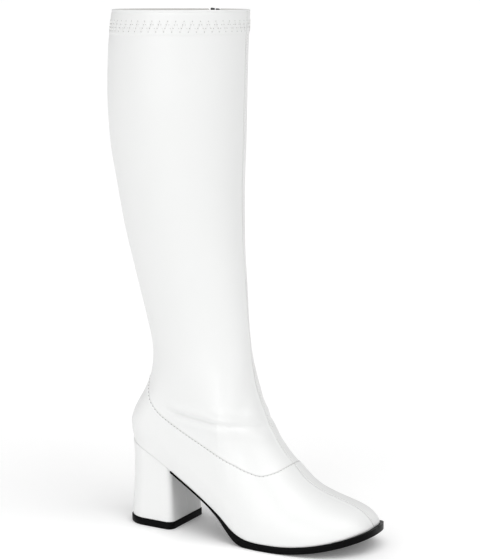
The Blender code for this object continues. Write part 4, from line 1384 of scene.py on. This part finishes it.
def plate(name, outlines, low, high, bevel, placement, material):
    """A flat plate with holes, from a filled curve with softened edges."""
    curve = bpy.data.curves.new(name, "CURVE")
    curve.dimensions = "2D"
    curve.fill_mode = "BOTH"
    curve.extrude = ((high - low) / 2 - bevel) * MM
    curve.bevel_depth = bevel * MM
    curve.bevel_resolution = 2
    curve.offset = -bevel * MM
    for outline_points in outlines:
        spline = curve.splines.new("POLY")
        spline.points.add(len(outline_points) - 1)
        for target, (x, y) in zip(spline.points, outline_points):
            target.co = (x * MM, y * MM, 0, 1)
        spline.use_cyclic_u = True
    holder = bpy.data.objects.new(name + "_curve", curve)
    bpy.context.scene.collection.objects.link(holder)
    graph = bpy.context.evaluated_depsgraph_get()
    mesh = bpy.data.meshes.new_from_object(holder.evaluated_get(graph))
    bpy.data.objects.remove(holder)
    mesh.transform(placement @ Matrix.Translation((0, 0, (low + high) / 2 * MM)))
    shape = bmesh.new()
    shape.from_mesh(mesh)
    bmesh.ops.remove_doubles(shape, verts=shape.verts, dist=1e-6)
    bmesh.ops.recalc_face_normals(shape, faces=shape.faces)
    shape.to_mesh(mesh)
    shape.free()
    mesh.materials.clear()
    mesh.materials.append(material)
    mesh.shade_smooth()
    mesh.set_sharp_from_angle(angle=SHARP_ANGLE)
    return mesh


def join_meshes(name, meshes, material):
    shape = bmesh.new()
    for mesh in meshes:
        shape.from_mesh(mesh)
    mesh = bpy.data.meshes.new(name)
    shape.to_mesh(mesh)
    shape.free()
    mesh.materials.append(material)
    mesh.shade_smooth()
    mesh.set_sharp_from_angle(angle=SHARP_ANGLE)
    piece = bpy.data.objects.new(name, mesh)
    bpy.context.scene.collection.objects.link(piece)
    return piece


def build_slider(context):
    settings = context.scene.boot_zip
    metal = grained_material("bright nickel", tuple(settings.metal), darker(settings.metal, 0.9),
                             1800.0, 0.01, (0.18, 0.3), metallic=1.0)
    frame_here = zip_frame(0.0)
    body = rounded_outline([(-2.8, -4.5), (2.8, -4.5), (3.3, 0.5), (3.8, 2.6), (3.4, 4.5), (-3.4, 4.5),
                            (-3.8, 2.6), (-3.3, 0.5)], 1.6)
    top = plate("slider_plate", [body], 1.0, 2.4, 0.35, frame_here, metal)
    arch = rounded_outline([(-3.0, 2.0), (-3.0, 5.3), (3.0, 5.3), (3.0, 2.0), (1.9, 2.0), (1.9, 4.5),
                            (-1.9, 4.5), (-1.9, 2.0)], 0.9)
    stand = Matrix(((0, 0, 1, 0), (1, 0, 0, 0), (0, 1, 0, 0), (0, 0, 0, 1)))
    bridge = plate("slider_bridge", [arch], -0.9, 0.9, 0.2, frame_here @ stand, metal)
    piece = join_meshes("zip_slider_body", [top, bridge], metal)
    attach(piece, "boot")
    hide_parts("zip_slider")

    # The top stops' near black is painted shade at the top of the zip
    stop_shade_metal = grained_material("darkened nickel", tuple(settings.stops), darker(settings.stops, 0.8),
                            1800.0, 0.01, (0.35, 0.5), metallic=1.0)
    stops = []
    for side in (LATERAL, MEDIAL):
        centre = 2.5 * side
        stop = rounded_outline([(centre - 1.7, 6.2), (centre + 1.7, 6.2), (centre + 1.7, 10.2),
                                (centre - 1.7, 10.2)], 0.7)
        stops.append(plate("zip_stop", [stop], -0.9, 1.2, 0.3, frame_here, stop_shade_metal))
    piece = join_meshes("zip_top_stops", stops, stop_shade_metal)
    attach(piece, "boot")

    tab = rounded_outline([(-2.3, 0.55), (2.3, 0.55), (2.3, -6.0), (3.0, -7.5), (3.0, -21.0), (-3.0, -21.0),
                           (-3.0, -7.5), (-2.3, -6.0)], 1.1)
    window = rounded_outline([(-1.25, -0.55), (1.25, -0.55), (1.25, -4.5), (-1.25, -4.5)], 0.5)
    slot = rounded_outline([(-1.6, -15.2), (1.6, -15.2), (1.6, -18.4), (-1.6, -18.4)], 0.9)
    tab_mesh = plate("pull_plate", [tab, window, slot], -0.55, 0.55, 0.18, zip_frame(3.6), metal)
    piece = join_meshes("zip_pull_tab", [tab_mesh], metal)
    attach(piece, "pull_tab")
    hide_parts("zip_pull")


# ---- stage


def aim(holder, target):
    direction = Vector(target) - holder.location
    holder.rotation_mode = "QUATERNION"
    holder.rotation_quaternion = direction.to_track_quat("-Z", "Y")


def add_light(name, azimuth, elevation, strength):
    """A very broad, distant light, which falls the same on the whole floor."""
    data = bpy.data.lights.new(name, "SUN")
    data.angle = math.radians(LAMP_ANGLE)
    data.energy = strength
    holder = bpy.data.objects.new(name, data)
    around, up = math.radians(azimuth), math.radians(elevation)
    holder.location = (math.sin(around) * math.cos(up), -math.cos(around) * math.cos(up), math.sin(up))
    bpy.context.scene.collection.objects.link(holder)
    aim(holder, (0.0, 0.0, 0.0))


CAMERA_PLACE = (0.7546, -1.1774, 0.4665)
CAMERA_YAW, CAMERA_PITCH = 29.9, 10.2
CAMERA_FOCUS = 1630.5       # focal length in pixels of the photograph's 560 pixel height
PHOTO_HEIGHT = 560
LAMP_ANGLE = 50.0
LAMPS = (               # name, azimuth, elevation and strength
    ("front lamp", -4.0, 14.0, 1.14),
    ("high lamp", 45.0, 70.0, 1.04),
    ("side lamp", 86.0, 46.0, 0.70),
)
SEEN_WHITE = 1.1            # the world as the camera sees it, just past white
FLOOR_HALF = 60.0           # metres


def build_stage(context):
    settings = context.scene.boot_stage
    scene = context.scene
    data = bpy.data.cameras.new("camera")
    data.sensor_width = 36.0
    data.lens = CAMERA_FOCUS * data.sensor_width / PHOTO_HEIGHT
    camera = bpy.data.objects.new("camera", data)
    scene.collection.objects.link(camera)
    camera.location = CAMERA_PLACE
    yaw, pitch = math.radians(CAMERA_YAW), math.radians(CAMERA_PITCH)
    ahead = Vector((-math.sin(yaw) * math.cos(pitch), math.cos(yaw) * math.cos(pitch), -math.sin(pitch)))
    aim(camera, camera.location + ahead)
    scene.camera = camera

    sheet = grained_material("pale studio floor", settings.floor, darker(settings.floor, 0.99),
                             60.0, 0.01, (0.6, 0.7))
    shader = sheet.node_tree.nodes["Principled BSDF"]
    shader.inputs["Emission Color"].default_value = (1, 1, 1, 1)
    shader.inputs["Emission Strength"].default_value = settings.glow
    corners = [(FLOOR_HALF * x, FLOOR_HALF * y, 0) for x, y in ((-1, -1), (1, -1), (1, 1), (-1, 1))]
    add_piece("studio_floor", corners, [(0, 1, 2, 3)], [sheet], outward=False)

    world = bpy.data.worlds.new("white studio")
    world.use_nodes = True
    scene.world = world
    tree = world.node_tree
    tree.nodes.clear()
    seen = add_node(tree, "ShaderNodeLightPath")
    strength = add_node(tree, "ShaderNodeMapRange", {
        "Value": seen.outputs["Is Camera Ray"], "To Min": settings.ambient, "To Max": SEEN_WHITE,
    })
    glow = add_node(tree, "ShaderNodeBackground", {"Color": (1, 1, 1, 1), "Strength": strength.outputs[0]})
    add_node(tree, "ShaderNodeOutputWorld", {"Surface": glow.outputs[0]})
    scene.view_settings.view_transform = "Standard"
    scene.view_settings.look = "None"

    for name, azimuth, elevation, strength in LAMPS:
        add_light(name, azimuth, elevation, strength * settings.lamps)


# ---- operators, panel and registration


class BOOT_OT_upper(bpy.types.Operator):
    """Build the upper: coated stretch fabric, lining, hem, seams and ankle creases"""

    bl_idname = "boot.upper"
    bl_label = "Build upper"

    def execute(self, context):
        build_upper(context)
        return {"FINISHED"}


class BOOT_OT_sole(bpy.types.Operator):
    """Build the black outsole"""

    bl_idname = "boot.sole"
    bl_label = "Build outsole"

    def execute(self, context):
        build_outsole(context)
        return {"FINISHED"}


class BOOT_OT_heel(bpy.types.Operator):
    """Build the covered heel and its top lift"""

    bl_idname = "boot.heel"
    bl_label = "Build heel"

    def execute(self, context):
        build_heel(context)
        return {"FINISHED"}


class BOOT_OT_sock(bpy.types.Operator):
    """Build the covered insole"""

    bl_idname = "boot.sock"
    bl_label = "Build insole"

    def execute(self, context):
        build_sock(context)
        return {"FINISHED"}


class BOOT_OT_zip(bpy.types.Operator):
    """Build the zip: tape, coil, slider and pull tab"""

    bl_idname = "boot.zip"
    bl_label = "Build zip"

    def execute(self, context):
        build_tape(context)
        build_slider(context)
        return {"FINISHED"}


class BOOT_OT_stitching(bpy.types.Operator):
    """Sew the panel seam, the collar, the centre seam and the zip; the upper comes first"""

    bl_idname = "boot.stitching"
    bl_label = "Build stitching"

    def execute(self, context):
        build_stitching(context)
        return {"FINISHED"}


class BOOT_OT_stage(bpy.types.Operator):
    """Set the floor, the soft studio light and the camera"""

    bl_idname = "boot.stage"
    bl_label = "Build stage"

    def execute(self, context):
        build_stage(context)
        return {"FINISHED"}


SETTINGS = {
    "boot_upper": BootUpperSettings,
    "boot_sole": BootSoleSettings,
    "boot_stitch": BootStitchSettings,
    "boot_zip": BootZipSettings,
    "boot_stage": BootStageSettings,
}
OPERATORS = (
    BOOT_OT_upper, BOOT_OT_sole, BOOT_OT_heel, BOOT_OT_sock, BOOT_OT_zip, BOOT_OT_stitching,
    BOOT_OT_stage,
)


class BOOT_PT_sidebar(bpy.types.Panel):
    """Sizes and colours of the boot, and the steps that build it"""

    bl_idname = "BOOT_PT_sidebar"
    bl_label = "Go go boot"
    bl_space_type = "VIEW_3D"
    bl_region_type = "UI"
    bl_category = "Boot"

    def draw(self, context):
        for name, group in SETTINGS.items():
            box = self.layout.box()
            box.label(text=name.replace("_", " "))
            for field in group.__annotations__:
                box.prop(getattr(context.scene, name), field)
        for operator in OPERATORS:
            self.layout.operator(operator.bl_idname)


def register():
    for group in (*SETTINGS.values(), *OPERATORS, BOOT_PT_sidebar):
        bpy.utils.register_class(group)
    for name, group in SETTINGS.items():
        setattr(bpy.types.Scene, name, PointerProperty(type=group))


def unregister():
    for name in SETTINGS:
        delattr(bpy.types.Scene, name)
    for group in (BOOT_PT_sidebar, *reversed(OPERATORS), *SETTINGS.values()):
        bpy.utils.unregister_class(group)


def main():
    register()
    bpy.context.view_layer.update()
    bpy.ops.boot.upper()
    bpy.ops.boot.sole()
    bpy.ops.boot.heel()
    bpy.ops.boot.sock()
    bpy.ops.boot.zip()
    bpy.ops.boot.stitching()
    bpy.ops.boot.stage()


if __name__ == "__main__":
    main()
